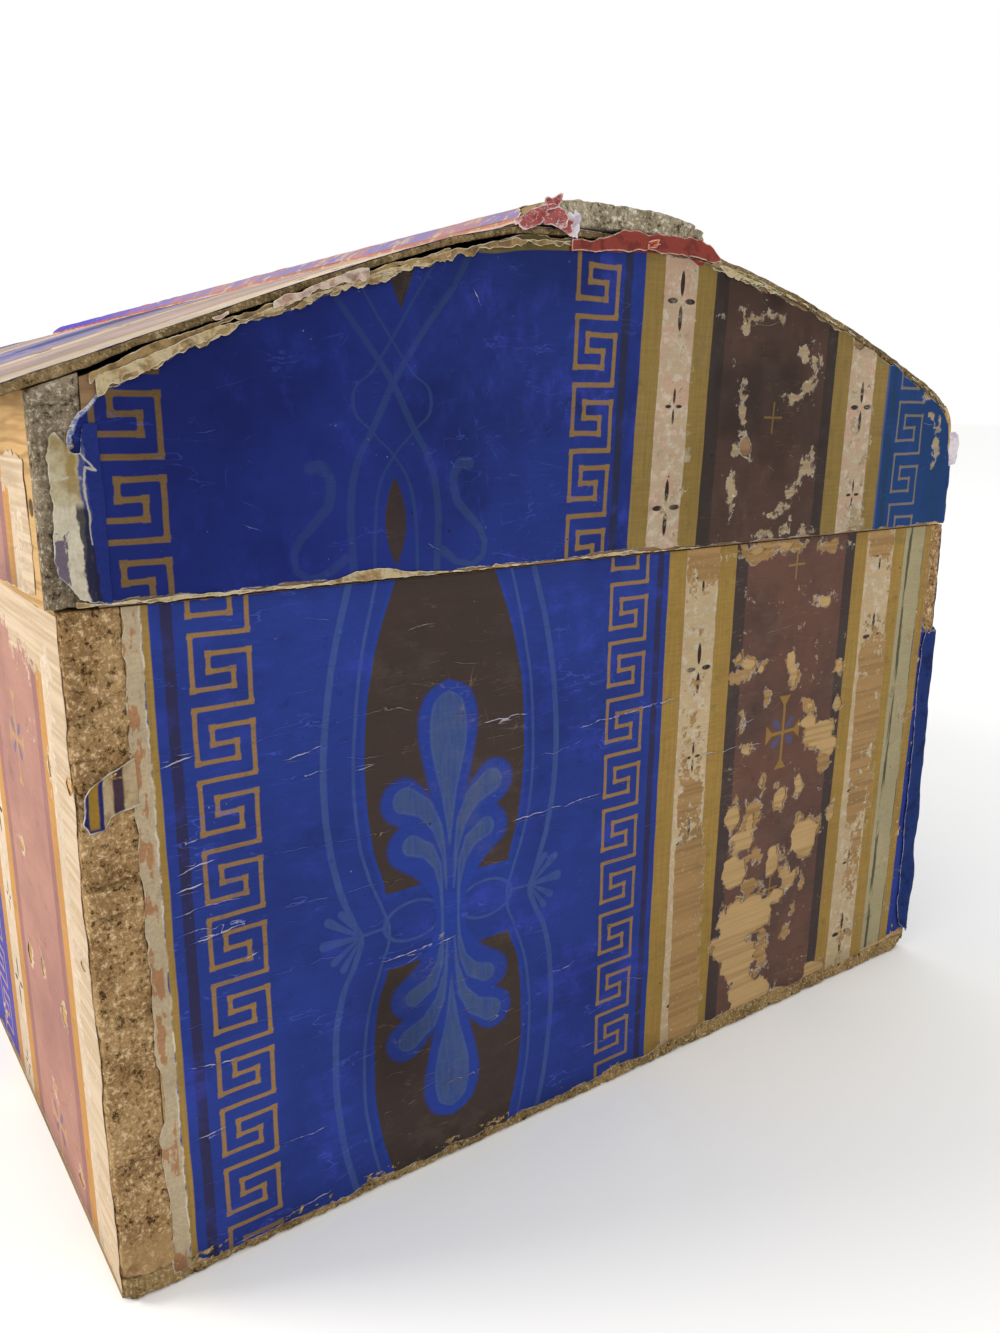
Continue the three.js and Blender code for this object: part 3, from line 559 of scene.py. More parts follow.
BASE_END = dict(
    keys=[(42.7, 261.2, 27.45), (240.2, 261.35, 27.45)], medallion=dict(u=151.8, v=123.5), dark=[(34, 38.2), (269.4, 273.4)],
    mustard=[(27.2, 30), (277, 288.8), (311, 323.4), (417.7, 428.6), (452.5, 463), (482, 489)], cream=[(288.8, 311), (428.4, 452.5)],
    brown=[(323.2, 417.7)], olive=[(463, 482)], hair=[(466.6, 469.2), (481, 481.8)], petals=[(301, 214), (441, 214)], crosses=[(369.6, 169)],
    residue=27.0, navy=0.45, pinkness=0.35, grain=1, key_h=0.9,
)
LID_END = dict(
    keys=[(15.8, 323.9, 27.95), (218, 349.9, 27.95), (447.8, 315.9, 27.95)], strap=dict(u=128.5), dark=[(7, 11.7), (244.5, 249), (440.5, 444.5)],
    mustard=[(256.4, 268.2), (288, 300.2), (391, 403.8), (424, 435.6)], cream=[(268, 288.2), (403.5, 424.2)], brown=[(300, 391.2)],
    pale=[(435.6, 437.4)], petals=[(279, 387), (415, 341)], crosses=[(347, 244.2)], navy=0.85, pinkness=0.8, dust=0.3, grain=1,
    pine=(rgb(150, 132, 104), rgb(122, 102, 76)), creases=0.3, paste=0.9, key_h=1.06, thin_key=0.34, haze=(1, 1.7, 1), fuzzy_corner=True, deep=(90, 190, 0.4), teal=437.0,
    chips=[(413.5, 374.0, 4.6, 2.4, rgb(170, 98, 56))],
    above=[(0, 500), (160, 400), (172, 399), (190, 401.5), (213, 403.2), (235, 404.4), (255, 405.8), (281, 405.4), (292, 404.2), (320, 500), (500, 500)],
)
GENERIC = dict(
    repeat=432.0, repeat_from=27.0, keys=[(42.7, 261.2, 27.45), (240.2, 261.35, 27.45)], medallion=dict(u=151.8, v=123.5, pitch=294.0),
    dark=[(34, 38.2), (269.4, 273.4)], mustard=[(26, 30), (277, 288.8), (311, 323.4), (417.7, 428.6), (452.5, 460)],
    cream=[(288.8, 311), (428.4, 452.5)], brown=[(323.2, 417.7)], petals=[(301, 214), (441, 214)], crosses=[(369.6, 169)], navy=0.5, pinkness=0.4,
)
FRONT = dict(GENERIC, pine=(rgb(192, 172, 146), rgb(164, 138, 104)), creases=0.3, repeat_from=33.0, mustard=[(277, 288.8), (311, 323.4), (417.7, 428.6)], cream=[(288.8, 311), (428.4, 466)], petals=[(301, 64)], crosses=[(368, 207)])
M_BASE_END = wallpaper("base_end_paper", BASE_END, FRESH, wear=0.75)
M_LID_END = wallpaper("lid_end_paper", LID_END, LIDINK, wear=0.5, lid=True)
M_FRONT = wallpaper("front_paper", FRONT, FADED, wear=0.8)


def recoloured(src, name, old, new):
    """A copy of a material with its inks changed for another set."""
    m = src.copy()
    m.name = name
    for nd in m.node_tree.nodes:
        if nd.bl_idname != "ShaderNodeMix":
            continue
        for i in (6, 7):
            c = nd.inputs[i]
            if c.is_linked:
                continue
            for k, v in old.items():
                if max(abs(a - b) for a, b in zip(c.default_value, v)) < 1e-5:
                    c.default_value = new[k]
                    break
    return m


PINES = dict(pine_a=FRONT["pine"][0], pine_b=FRONT["pine"][1])
M_OTHER = recoloured(M_FRONT, "paper", dict(FADED, **PINES), dict(FRESH, pine_a=rgb(156, 128, 88), pine_b=rgb(126, 98, 62)))
DOMEINK = dict(
    FADED, brown=rgb(180, 158, 150), plum=rgb(156, 134, 128), mustard=rgb(184, 160, 126), cream=rgb(198, 180, 158), pink=rgb(190, 168, 152),
    blue=rgb(142, 132, 166), navy=rgb(122, 114, 148), gold=rgb(176, 156, 134), wood=rgb(168, 146, 112),
)
M_DOME = recoloured(M_FRONT, "dome_paper", dict(FADED, **PINES), dict(DOMEINK, pine_a=rgb(168, 150, 124), pine_b=rgb(142, 122, 94)))


# ---------------------------------------------------------------- wood, iron and brass
def wood(name, base, dark, grain=0, ring=7.0, dirty=0.4, long=16.0):
    """Pine with its grain along axis 0, 1 or 2."""
    n = Net(name)
    col, fine, warp = pine_tone(n, n.place(), base, dark, grain, ring, dirty, long)
    return n.finish(col, rough=fine * 0.2 + 0.70, height=fine * 0.3 + warp * 0.3, bump=0.5, specular=0.12)


def crumbly(name, a, b, dark, size=1.0, painted_highlight=rgb(212, 188, 150), calm=None):
    """Weathered end grain: fibres worn to granules, with small dark pits between them. The colour follows the same
    noise as the bump, so it carries painted light: painted highlights on the granule tops and painted shade in the
    pits, which also hold some grime.
    """
    n = Net(name)
    p = n.place()
    big = n.noise(p, 24, 4.0, 0.6)
    g = n.noise(p, size, 6.0, 0.78, offset=3.0)
    m = n.noise(p, size * 3.0, 5.0, 0.70, offset=7.0)
    col = n.mix(a, b, big.soft(0.38, 0.64))
    # painted shade and light: the colour is scaled by g, the noise that also raises the granules in the bump
    col = n.shade(col, g * 1.6 + 0.18)
    # painted highlight on the granule tops
    col = n.mix(col, painted_highlight, (g + (m - 0.5) * 0.5).soft(0.545, 0.62) * 0.9)
    # dark pits: grime, with painted shade in the hollows
    pit_grime_and_shade = (g * 0.55 + m * 0.55).soft(0.515, 0.455) * (big.soft(0.3, 0.5) * 0.7 + 0.3)
    if calm:
        z = n.split(p)[2] + (big - 0.5) * 14
        quiet = z.soft(calm + 5, calm - 5)
        pit_grime_and_shade = pit_grime_and_shade * (1 - quiet * 0.85)
        col = n.mix(col, n.shade(a, g * 0.5 + 0.76), quiet * 0.6)
    col = n.mix(col, dark, pit_grime_and_shade * 0.9)
    return n.finish(col, rough=0.95, height=g * 1.0 + m * 0.8, bump=1.0, specular=0.05)


def metal(name, base, rust, rough):
    n = Net(name)
    p = n.place()
    r = n.noise(p, 9, 5.0, 0.65)
    f = n.noise(p, 1.2, 3.0, offset=4.0)
    col = n.mix(base, rust, r.soft(0.4, 0.62))
    return n.finish(n.shade(col, f * 0.5 + 0.75), rough=r * 0.35 + rough, height=f * 0.4 + r * 0.3, bump=0.35, metal=0.75, specular=0.5)


def cream_layer(name, base, spot):
    """Bare backing paper and paste that stays where the printed face has gone."""
    n = Net(name)
    p = n.place()
    a, f = n.noise(p, 6, 5.0, 0.65), n.noise(p, 1.4, 3.0, offset=2.0)
    col = n.mix(base, spot, a.soft(0.44, 0.60) * 0.9)
    col = n.shade(col, 1.0 - n.noise(p, 3.4, 4.0, 0.65, stretch=(1, 2.5, 1), offset=21.0).soft(0.52, 0.66) * 0.4)
    rag = n.noise(p, 5.0, 3.0, offset=12.0).soft(0.34, 0.64)
    col = n.mix(col, rgb(206, 198, 178), n.attr("tear").soft(0.45, 0.05) * (rag * 0.7 + 0.1))
    return n.finish(n.shade(col, f * 0.4 + 0.8), rough=0.86, height=a * 0.4 + f * 0.3, bump=0.6, specular=0.06)


PINE_X = wood("pine_along", rgb(186, 150, 98), rgb(126, 92, 52), 0)
PINE_Y = wood("pine_across", rgb(170, 140, 96), rgb(138, 110, 72), 1, ring=6.0, dirty=0.2, long=40.0)
OLD_X = wood("old_pine", rgb(140, 116, 82), rgb(84, 64, 40), 0, dirty=0.6)
LID_END_Y = wood("lid_end_pine", rgb(132, 104, 76), rgb(100, 76, 52), 1, ring=6.0, dirty=0.3, long=40.0)
SKIN_WOOD = wood("dome_pine", rgb(150, 130, 88), rgb(96, 78, 46), 0, ring=3.0, dirty=0.5)
# end grains: the last colour given to each is the painted highlight on its granule tops
END_TAN = crumbly("end_grain", rgb(172, 140, 97), rgb(147, 115, 76), rgb(54, 38, 22), size=1.6, painted_highlight=rgb(214, 188, 148), calm=27.0)
END_RAIL = crumbly("rail_end_grain", rgb(144, 130, 108), rgb(120, 106, 86), rgb(52, 44, 34), size=1.6, painted_highlight=rgb(194, 184, 166))
END_GREY = crumbly("batten_end_grain", rgb(172, 160, 136), rgb(144, 132, 108), rgb(62, 54, 42), size=1.7, painted_highlight=rgb(222, 214, 198))
IRON = metal("iron", rgb(70, 62, 56), rgb(88, 56, 38), 0.42)
BRASS = metal("brass", rgb(168, 132, 66), rgb(92, 74, 42), 0.3)
# the last colour given to each end grain is the painted highlight on its granule tops
END_TAN_DARK = crumbly("bottom_end_grain", rgb(152, 126, 84), rgb(118, 96, 62), rgb(48, 38, 24), size=1.4, painted_highlight=rgb(196, 174, 134))
SKIN_END = crumbly("dome_board_edge", rgb(134, 112, 78), rgb(106, 88, 58), rgb(62, 48, 32), size=1.6, painted_highlight=rgb(176, 156, 120))
LINING = cream_layer("backing_paper", rgb(172, 156, 122), rgb(134, 106, 70))
LINING_TAN = cream_layer("backing_paper_tan", rgb(142, 118, 80), rgb(104, 80, 52))
LINING_PINK = cream_layer("backing_paper_pale", rgb(182, 164, 148), rgb(150, 118, 104))
SLOPE = cream_layer("backing_paper_olive", rgb(98, 90, 58), rgb(176, 158, 116))


def plain_paper(name, base, spots, edge, size=7.0, lo=0.5, hi=0.62, creased=0.0):
    n = Net(name)
    p = n.place()
    a, f = n.noise(p, size, 5.0, 0.65), n.noise(p, 1.3, 3.0, offset=2.0)
    col = n.mix(base, spots, a.soft(lo, hi))
    fold = (n.noise(p, 5.0, 4.0, 0.62, stretch=(1, 1.6, 0.7), offset=9.0) - 0.5).abs()
    col = n.mix(col, edge, fold.soft(0.020, 0.0) * creased)
    rag = n.noise(p, 4.0, 3.0, offset=12.0).soft(0.3, 0.62)
    col = n.mix(col, edge, n.attr("tear").soft(0.6, 0.1) * (rag * 0.8 + 0.15))
    return n.finish(n.shade(col, f * 0.4 + 0.8), rough=f * 0.2 + 0.66, height=a * 0.5 + f * 0.3 - fold.soft(0.03, 0.0) * creased * 0.5, bump=0.6, specular=0.1)


M_RED = plain_paper("red_paper", rgb(124, 54, 46), rgb(100, 44, 38), rgb(196, 168, 154))
M_SHRED = plain_paper("red_paper_creased", rgb(152, 80, 78), rgb(132, 60, 60), rgb(222, 204, 202), creased=0.55)
M_ORANGE = plain_paper("orange_paper_crumple", rgb(172, 74, 42), rgb(148, 56, 36), rgb(208, 172, 150), creased=0.4)
M_PALE = plain_paper("pale_paper_back", rgb(204, 196, 200), rgb(176, 162, 182), rgb(226, 220, 218), creased=0.5)
M_BLUE = plain_paper("blue_wrap_paper", rgb(25, 44, 96), rgb(20, 32, 74), rgb(150, 152, 186))


def flap_material():
    n = Net("loose_corner_paper")
    pap = n.attr("pap", vector=True)
    y, z, _ = n.split(pap)
    w = n.noise(pap, 7, 4.0)
    f = n.noise(pap, 1.4, 3.0, offset=2.0)
    yy, zz = y + (w - 0.5) * 3.0, z + (w - 0.5) * 5.0
    col = n.mix(rgb(168, 158, 130), rgb(140, 122, 86), n.noise(pap, 9, 4.0, offset=5.0).soft(0.42, 0.6))
    fibre = n.noise(pap, 1.6, 4.0, 0.65, stretch=(1, 3.5, 1), offset=25.0)
    col = n.mix(col, n.shade(rgb(186, 178, 160), fibre * 0.7 + 0.65), (zz - 309.0).soft(3.0, -3.0) * 0.75)
    col = n.mix(col, rgb(136, 114, 66), band(yy, 7.2, 10.2, 0.8) * (zz - 316.0).soft(-2.0, 2.0) * (fibre.soft(0.3, 0.5) * 0.6 + 0.35))
    col = n.mix(col, rgb(62, 68, 116), (yy - 11.0).soft(-0.6, 0.6) * (fibre.soft(0.34, 0.46) * 0.5 + 0.5))
    col = n.mix(col, rgb(28, 40, 100), (yy - 13.4).soft(-0.5, 0.5))
    col = n.mix(col, rgb(70, 56, 84), ((yy - 2.2).abs() * 1.5 - 4.4 + (fibre - 0.5) * 14.0).max((zz - 292.0).abs() - 8.5 + (w - 0.5) * 16.0).soft(0.6, -0.6) * 0.85)
    col = n.mix(col, rgb(30, 28, 42), (((yy + (z - 294.0) * 0.09) - 11.9).abs() - 1.9 + (fibre - 0.5) * 3.0).soft(0.4, -0.4) * (zz - 308.0).soft(1.5, -1.5) * 0.9)
    tongue = chain(y + (w - 0.5) * 2.0, z, [(10.6, 327.0, 0.1), (16.6, 320.0, 0.2), (13.4, 321.0, 0.3), (12.4, 314.0, 0.2), (13.4, 296.0, 0.05)])
    col = n.mix(col, rgb(164, 160, 150), (tongue + (fibre - 0.5) * 0.7).soft(0.36, -0.05) * 0.85)
    ragged = n.noise(pap, 5.0, 3.0, offset=12.0).soft(0.34, 0.6)
    col = n.mix(col, rgb(194, 190, 182), ((zz - 317.5).abs() + (fibre - 0.5) * 3.0).soft(0.7, 0.1) * (y - 12.0).soft(1.0, -1.0) * ragged * 0.8)
    col = n.mix(col, rgb(190, 186, 176), n.attr("tear").soft(0.55, 0.05) * (ragged * 0.75 + 0.2))
    return n.finish(n.shade(col, f * 0.5 + 0.75), rough=0.8, height=w * 0.6 + f * 0.4, bump=0.7, specular=0.08)


M_FLAP = flap_material()


def scrap_material():
    """The strip of end paper that stayed on the front board: blue, mustard, cream and maroon stripes."""
    n = Net("scrap_paper")
    pap = n.attr("pap", vector=True)
    y, z, _ = n.split(pap)
    w = n.noise(pap, 7, 4.0)
    f = n.noise(pap, 1.4, 3.0, offset=2.0)
    yy = y + (w - 0.5) * 0.8 - (z - 205.0) * 0.03
    col = n.mix(rgb(160, 142, 112), rgb(140, 120, 88), n.noise(pap, 6, 4.0, offset=5.0).soft(0.42, 0.6))
    col = n.mix(col, rgb(36, 36, 86), (yy - 9.4).soft(0.3, -0.3))
    col = n.mix(col, rgb(134, 104, 42), band(yy, 4.4, 7.8, 0.4) * (z - 197.5).soft(-0.5, 0.5))
    col = n.mix(col, rgb(60, 44, 54), band(yy, 13.0, 16.6, 0.4))
    ragged = n.noise(pap, 5.0, 3.0, offset=12.0).soft(0.34, 0.6)
    col = n.mix(col, rgb(194, 186, 170), n.attr("tear").soft(0.6, 0.1) * (ragged * 0.6 + 0.35))
    return n.finish(n.shade(col, f * 0.5 + 0.75), rough=0.8, height=w * 0.6 + f * 0.4, bump=0.7, specular=0.08)


M_SCRAP = scrap_material()


def crown_material():
    """Blue paper with orange-red borders, faded to mauve and pink along the crown."""
    n = Net("crown_paper")
    pap = n.attr("pap", vector=True)
    x, v, _ = n.split(pap)
    w = n.noise(pap, 11, 4.0, 0.62)
    f = n.noise(pap, 1.4, 3.0, offset=2.0)
    v2 = v + (w - 0.5) * 2.4
    red, blue = n.mix(rgb(170, 74, 60), rgb(146, 52, 50), w.soft(0.4, 0.6)), n.mix(rgb(44, 48, 182), rgb(64, 52, 146), w.soft(0.35, 0.65))
    red = n.mix(red, rgb(170, 116, 100), x.soft(-260.0, 120.0) * 0.8)
    faded = n.mix(rgb(132, 118, 152), rgb(164, 124, 118), n.noise(pap, 30, 3.0, offset=3.0).soft(0.4, 0.6))
    blue = n.mix(blue, faded, x.soft(-330.0, 60.0) * 0.85)
    border = band(v2, 0.0, 3.2, 0.7).max(band(v2, 13.5, 17.0, 0.7)).max((v2 - 96.0).soft(-0.7, 0.7))
    mid = ((v2 - 17.0).mod(22.0) - 11.0).abs().soft(9.6, 10.6)
    col = n.mix(blue, red, border.max(mid * 0.7))
    col = n.mix(col, rgb(180, 158, 126), (n.noise(pap, 9, 5.0, 0.66, offset=7.0) + x.soft(-150.0, 330.0) * 0.1).soft(0.61, 0.69) * 0.8)
    col = n.mix(col, rgb(212, 196, 178), n.attr("tear").soft(1.3, 0.2))
    return n.finish(n.shade(col, f * 0.4 + 0.8), rough=0.72, height=w * 0.4 + f * 0.3, bump=0.5, specular=0.2)


M_CROWN = crown_material()


def cad_material(name):
    if "nail" in name or name.startswith(("hinge", "lock")):
        return IRON
    if name == "keyhole_escutcheon":
        return BRASS
    if name.startswith("bottom") or name == "crown_batten":
        return OLD_X
    if name.startswith("dome") and "panel" in name:
        return SKIN_WOOD
    if name.endswith("end_board"):
        return LID_END_Y if name.startswith("lid") else PINE_Y
    return PINE_X


for _name, _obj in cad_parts.items():
    for _slot in range(max(1, len(_obj.material_slots))):
        if not _obj.material_slots:
            _obj.data.materials.append(cad_material(_name))
        else:
            _obj.material_slots[_slot].material = cad_material(_name)


# ---------------------------------------------------------------- torn sheets of paper
def mesh_object(name, verts, faces, attrs, mat, body, smooth=True):
    me = bpy.data.meshes.new(name)
    loops = np.concatenate([f.ravel() for f in faces if len(f)]).astype(np.int32)
    sizes = np.concatenate([np.full(len(f), f.shape[1]) for f in faces if len(f)])
    starts = np.concatenate([[0], np.cumsum(sizes)[:-1]]).astype(np.int32)
    me.vertices.add(len(verts))
    me.vertices.foreach_set("co", np.asarray(verts, np.float32).ravel())
    me.loops.add(len(loops))
    me.loops.foreach_set("vertex_index", loops)
    me.polygons.add(len(sizes))
    me.polygons.foreach_set("loop_start", starts)
    me.update(calc_edges=True)
    for key, val in attrs.items():
        if val.ndim == 2:
            a = me.attributes.new(key, "FLOAT_VECTOR", "POINT")
            a.data.foreach_set("vector", np.asarray(val, np.float32).ravel())
        else:
            a = me.attributes.new(key, "FLOAT", "POINT")
            a.data.foreach_set("value", np.asarray(val, np.float32))
    me.polygons.foreach_set("use_smooth", np.full(len(sizes), smooth))
    me.validate()
    me.materials.append(mat)
    o = bpy.data.objects.new(name, me)
    scene.collection.objects.link(o)
    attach(o, body)
    return o


def sheet(name, grid, keep, attrs, mat, body, thick=0.00035, node=None, inward=None):
    """A closed thin sheet over grid (rows x columns x 3), cut away where keep < 0. The surface normal is
    cross(rows, columns); `inward` is the direction of its back."""
    R, Cn = keep.shape
    V = grid.reshape(-1, 3)
    F = keep.ravel()
    F = np.where(np.abs(F) < 1e-4, 1e-4, F)
    idx = np.arange(R * Cn).reshape(R, Cn)
    q = np.stack([idx[:-1, :-1], idx[1:, :-1], idx[1:, 1:], idx[:-1, 1:]], -1).reshape(-1, 4)
    inside = F[q] > 0
    full = q[inside.all(1)]
    mixed = q[inside.any(1) & ~inside.all(1)]
    tri = np.concatenate([mixed[:, [0, 1, 2]], mixed[:, [0, 2, 3]]])
    k = (F[tri] > 0).sum(1)
    whole = tri[k == 3]
    cutt, new, pos = tri[(k == 1) | (k == 2)], {}, []
    A = {key: (val.reshape(-1, 3) if val.ndim == 3 else val.ravel()) for key, val in attrs.items()}
    A.setdefault("flake", np.zeros_like(F))
    A.setdefault("bare", np.full_like(F, 12.0))
    if "tear" not in A:
        A["tear"] = np.clip(F, 0, 12)
    pairs = []
    tear_is_edge = "tear" not in attrs

    def between(a, b):
        key = (a, b) if a < b else (b, a)
        if key not in new:
            new[key] = len(V) + len(pairs)
            pairs.append(key)
        return new[key]

    t3, t4 = [], []
    for t in cutt:
        s = [F[i] > 0 for i in t]
        if sum(s) == 1:
            j = s.index(True)
            a, b, c = t[j], t[(j + 1) % 3], t[(j + 2) % 3]
            t3.append((a, between(a, b), between(a, c)))
        else:
            j = s.index(False)
            a, b, c = t[j], t[(j + 1) % 3], t[(j + 2) % 3]
            t4.append((b, c, between(c, a), between(a, b)))
    if pairs:
        P = np.array(pairs)
        fa, fb = F[P[:, 0]], F[P[:, 1]]
        w = np.clip(fa / (fa - fb), 0.04, 0.96)
        V = np.vstack([V, V[P[:, 0]] * (1 - w)[:, None] + V[P[:, 1]] * w[:, None]])
        for key, val in A.items():
            ww = w if val.ndim == 1 else w[:, None]
            A[key] = np.concatenate([val, val[P[:, 0]] * (1 - ww) + val[P[:, 1]] * ww])
        if tear_is_edge:
            A["tear"][-len(P):] = 0.0
    faces = [f for f in (full, whole, np.array(t3).reshape(-1, 3), np.array(t4).reshape(-1, 4)) if len(f)]
    # keep only what is joined to a piece of some size, so that no crumbs float
    used = np.unique(np.concatenate([f.ravel() for f in faces]))
    remap = -np.ones(len(V), int)
    remap[used] = np.arange(len(used))
    faces = [remap[f.astype(int)] for f in faces]
    V = V[used]
    A = {key: val[used] for key, val in A.items()}
    from_, to_ = [], []
    for f in faces:
        for i in range(f.shape[1]):
            from_.append(f[:, i]); to_.append(f[:, (i + 1) % f.shape[1]])
    e0, e1 = np.concatenate(from_), np.concatenate(to_)
    label = np.arange(len(V))
    for _ in range(400):
        m = np.minimum(label[e0], label[e1])
        before = label.copy()
        np.minimum.at(label, e0, m); np.minimum.at(label, e1, m)
        label = label[label]
        if (before == label).all():
            break
    count = np.bincount(label, minlength=len(V))
    good = count[label] >= 24
    faces = [f[good[f].all(1)] for f in faces]
    faces = [f for f in faces if len(f)]
    used = np.unique(np.concatenate([f.ravel() for f in faces]))
    remap = -np.ones(len(V), int)
    remap[used] = np.arange(len(used))
    faces = [remap[f] for f in faces]
    V = V[used]
    A = {key: val[used] for key, val in A.items()}
    e0 = np.concatenate([f[:, i] for f in faces for i in range(f.shape[1])])
    e1 = np.concatenate([f[:, (i + 1) % f.shape[1]] for f in faces for i in range(f.shape[1])])
    N = len(V)
    fwd, rev = e0.astype(np.int64) * N + e1, e1.astype(np.int64) * N + e0
    open_ = ~np.isin(fwd, rev)
    b0, b1 = e0[open_], e1[open_]
    if isinstance(inward, str):
        nb = A.pop(inward)
        back = nb / (np.linalg.norm(nb, axis=1)[:, None] + 1e-9) * thick
    else:
        back = np.asarray(inward, float) * thick
    V2 = np.vstack([V, V + back])
    A = {key: np.concatenate([val, val]) for key, val in A.items()}
    rim = np.stack([b1, b0, b0 + N, b1 + N], -1)
    faces = faces + [f[:, ::-1] + N for f in faces] + [rim]
    o = mesh_object(name, V2, faces, A, mat, body)
    if node:
        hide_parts(node)
    return o


def marks(a, b, segs, seed, wobble=1.1):
    """Signed distance to the nearest of many short lines, and how strong that line is there."""
    s, w = np.full(a.shape, 9.0), np.zeros(a.shape)
    rng = np.random.default_rng(seed)
    for i, (x0, y0, x1, y1, k) in enumerate(segs):
        dx, dy = x1 - x0, y1 - y0
        L = math.hypot(dx, dy)
        box = (a > min(x0, x1) - 6) & (a < max(x0, x1) + 6) & (b > min(y0, y1) - 6) & (b < max(y0, y1) + 6)
        if not box.any():
            continue
        aa, bb = a[box], b[box]
        t = ((aa - x0) * dx + (bb - y0) * dy) / L
        d = (-(aa - x0) * dy + (bb - y0) * dx) / L
        d = d + noise2(t, np.full_like(t, i * 3.1), 9.0, i % 11, 3) * wobble * min(1, L / 25)
        f = k * sstep(0, min(6, L * 0.3), t) * sstep(L, L - min(6, L * 0.3), t) * sstep(2.6, 1.3, np.abs(d))
        take = (np.abs(d) < np.abs(s[box])) & (f > 0.02)
        sb, wb = s[box], w[box]
        sb[take], wb[take] = d[take], f[take]
        s[box], w[box] = sb, wb
    return s, w


def blobs(a, b, seed, shapes, rough=2.6):
    """Signed distance in millimetres outside ragged ellipses (y, z, ry, rz): negative inside them."""
    out = np.full(a.shape, 60.0)
    n = noise2(a, b, 11, seed, 4) * rough * 1.25 + noise2(a, b, 4.4, seed + 3, 3) * rough * 0.75
    for y, z, ry, rz in shapes:
        d = (np.hypot((a - y) / ry, (b - z) / rz) - 1) * min(ry, rz)
        out = np.minimum(out, d + n * min(1.0, min(ry, rz) / 6))
    return out


def interp(x, pts):
    p = sorted(pts)
    return np.interp(x, [q[0] for q in p], [q[1] for q in p])


# the outline of the dome, photograph y (front face 0, back face 500) and z
DOME = np.array([(-10, 347.2), (0, 350.9), (15, 356.0), (30, 361.4), (55, 370.2), (94, 384.0), (133, 397.0), (158, 404.6), (186, 410.6), (212, 412.2),
                 (250, 412.3), (280, 411.0), (299, 408.4), (321, 404.1), (357, 394.9), (401, 381.2), (440, 366.5), (465, 356.4), (481, 349.4),
                 (491, 342.6), (496.5, 336.0), (499, 328.0), (500, 318.0)])


def dome_z(y):
    return np.interp(y, DOME[:, 0], DOME[:, 1])


def end_grid(y0, y1, z0, z1, step):
    ys = np.linspace(y0, y1, int(round((y1 - y0) / step)) + 1)
    zs = np.linspace(z0, z1, int(round((z1 - z0) / step)) + 1)
    return np.meshgrid(ys, zs, indexing="ij")


# ---------------------------------------------------------------- paper on the near end of the base
def random_marks(seed, n, box, lo, hi, slope, k0, k1):
    r = np.random.default_rng(seed)
    out = []
    for _ in range(n):
        x, y = r.uniform(box[0], box[1]), r.uniform(box[2], box[3])
        L, a = r.uniform(lo, hi), r.normal(0, slope)
        out.append((x, y, x + L * math.cos(a), y + L * math.sin(a), r.uniform(k0, k1)))
    return out


Y, Z = end_grid(16.4, 500.2, 0.8, 274, 1.66)
drift = interp(Y, [(0, 0), (150, 0), (240, 3.7), (270, 6), (450, 10), (500, 10)]) * (274 - Z) / 274
PAP = np.stack([Y + drift, Z, np.zeros_like(Y)], -1)
keep = blobs(Y, Z, 3, [
    (388, 173, 6, 8), (398, 161, 13, 9), (407, 154, 8, 7), (392, 102, 11, 13), (331, 128, 7, 9), (338, 112, 8, 8), (334, 96, 9, 8), (345, 120, 5, 6),
    (364, 94, 5, 8), (368, 130, 4, 6), (377, 81, 7, 6), (338, 68, 15, 9), (352, 66, 16, 10), (367, 72, 11, 6), (332, 52, 12, 9), (342, 40, 13, 10),
    (345, 24, 9, 13), (338.4, 164.3, 4.6, 4.0), (370, 209, 4, 4), (373, 201, 3, 5), (337, 211, 5, 3), (329, 215, 3, 2.4), (346, 207, 3, 2.4),
    (395, 238.5, 5.2, 3), (340, 270, 11, 3.5), (360, 271, 5, 2.5), (383, 138.5, 3, 5.4), (356, 12, 15, 9), (408, 13, 9, 5), (352, 143, 3, 4),
    (411, 178, 3, 3), (412, 200, 2.4, 4), (413, 112, 2.6, 5),
], 2.9)
rubs = blobs(Y, Z, 5, [(400, 268, 7, 3), (340, 270, 15, 5), (362, 271, 8, 3.5), (334, 206, 8, 3), (345, 122, 6, 10), (352, 100, 4, 6), (404, 146, 5, 6), (300, 30, 8, 6), (360, 40, 4, 8), (349, 84, 7, 4), (386, 60, 2, 5), (392, 75, 2, 4), (380, 46, 2.4, 3), (333, 180, 2, 3), (388, 205, 2.4, 2), (352, 190, 1.6, 2.4)], 1.8)
left = Y - (20.4 + noise2(Z, Y * 0, 24, 5, 4) * 2.0 + noise2(Z, Y, 6, 3, 3) * 0.9)
bottom = Z - (interp(Y, [(0, 5.0), (30, 6), (60, 4), (110, 5.5), (150, 4), (190, 7.5), (215, 5), (300, 9), (420, 10), (500, 14)]) + noise2(Y, Y * 0, 15, 7, 4) * 2.4)
corner = np.maximum(488.2 - Y + noise2(Z, Y * 0, 12, 9, 3) * 1.2, (210.5 + (500 - Y) * 0.35 - Z) + noise2(Y, Z, 8, 4, 3) * 1.5)
right = 499.4 - Y + noise2(Z, Y * 0, 30, 2, 4) * 1.3 - interp(Z, [(0, 7.0), (10, 4.5), (24, 1.0), (60, 0), (274, 0)])
K = np.minimum.reduce([keep, left, bottom, corner, right])
bare = np.clip(np.minimum(keep, rubs), -8, 12)
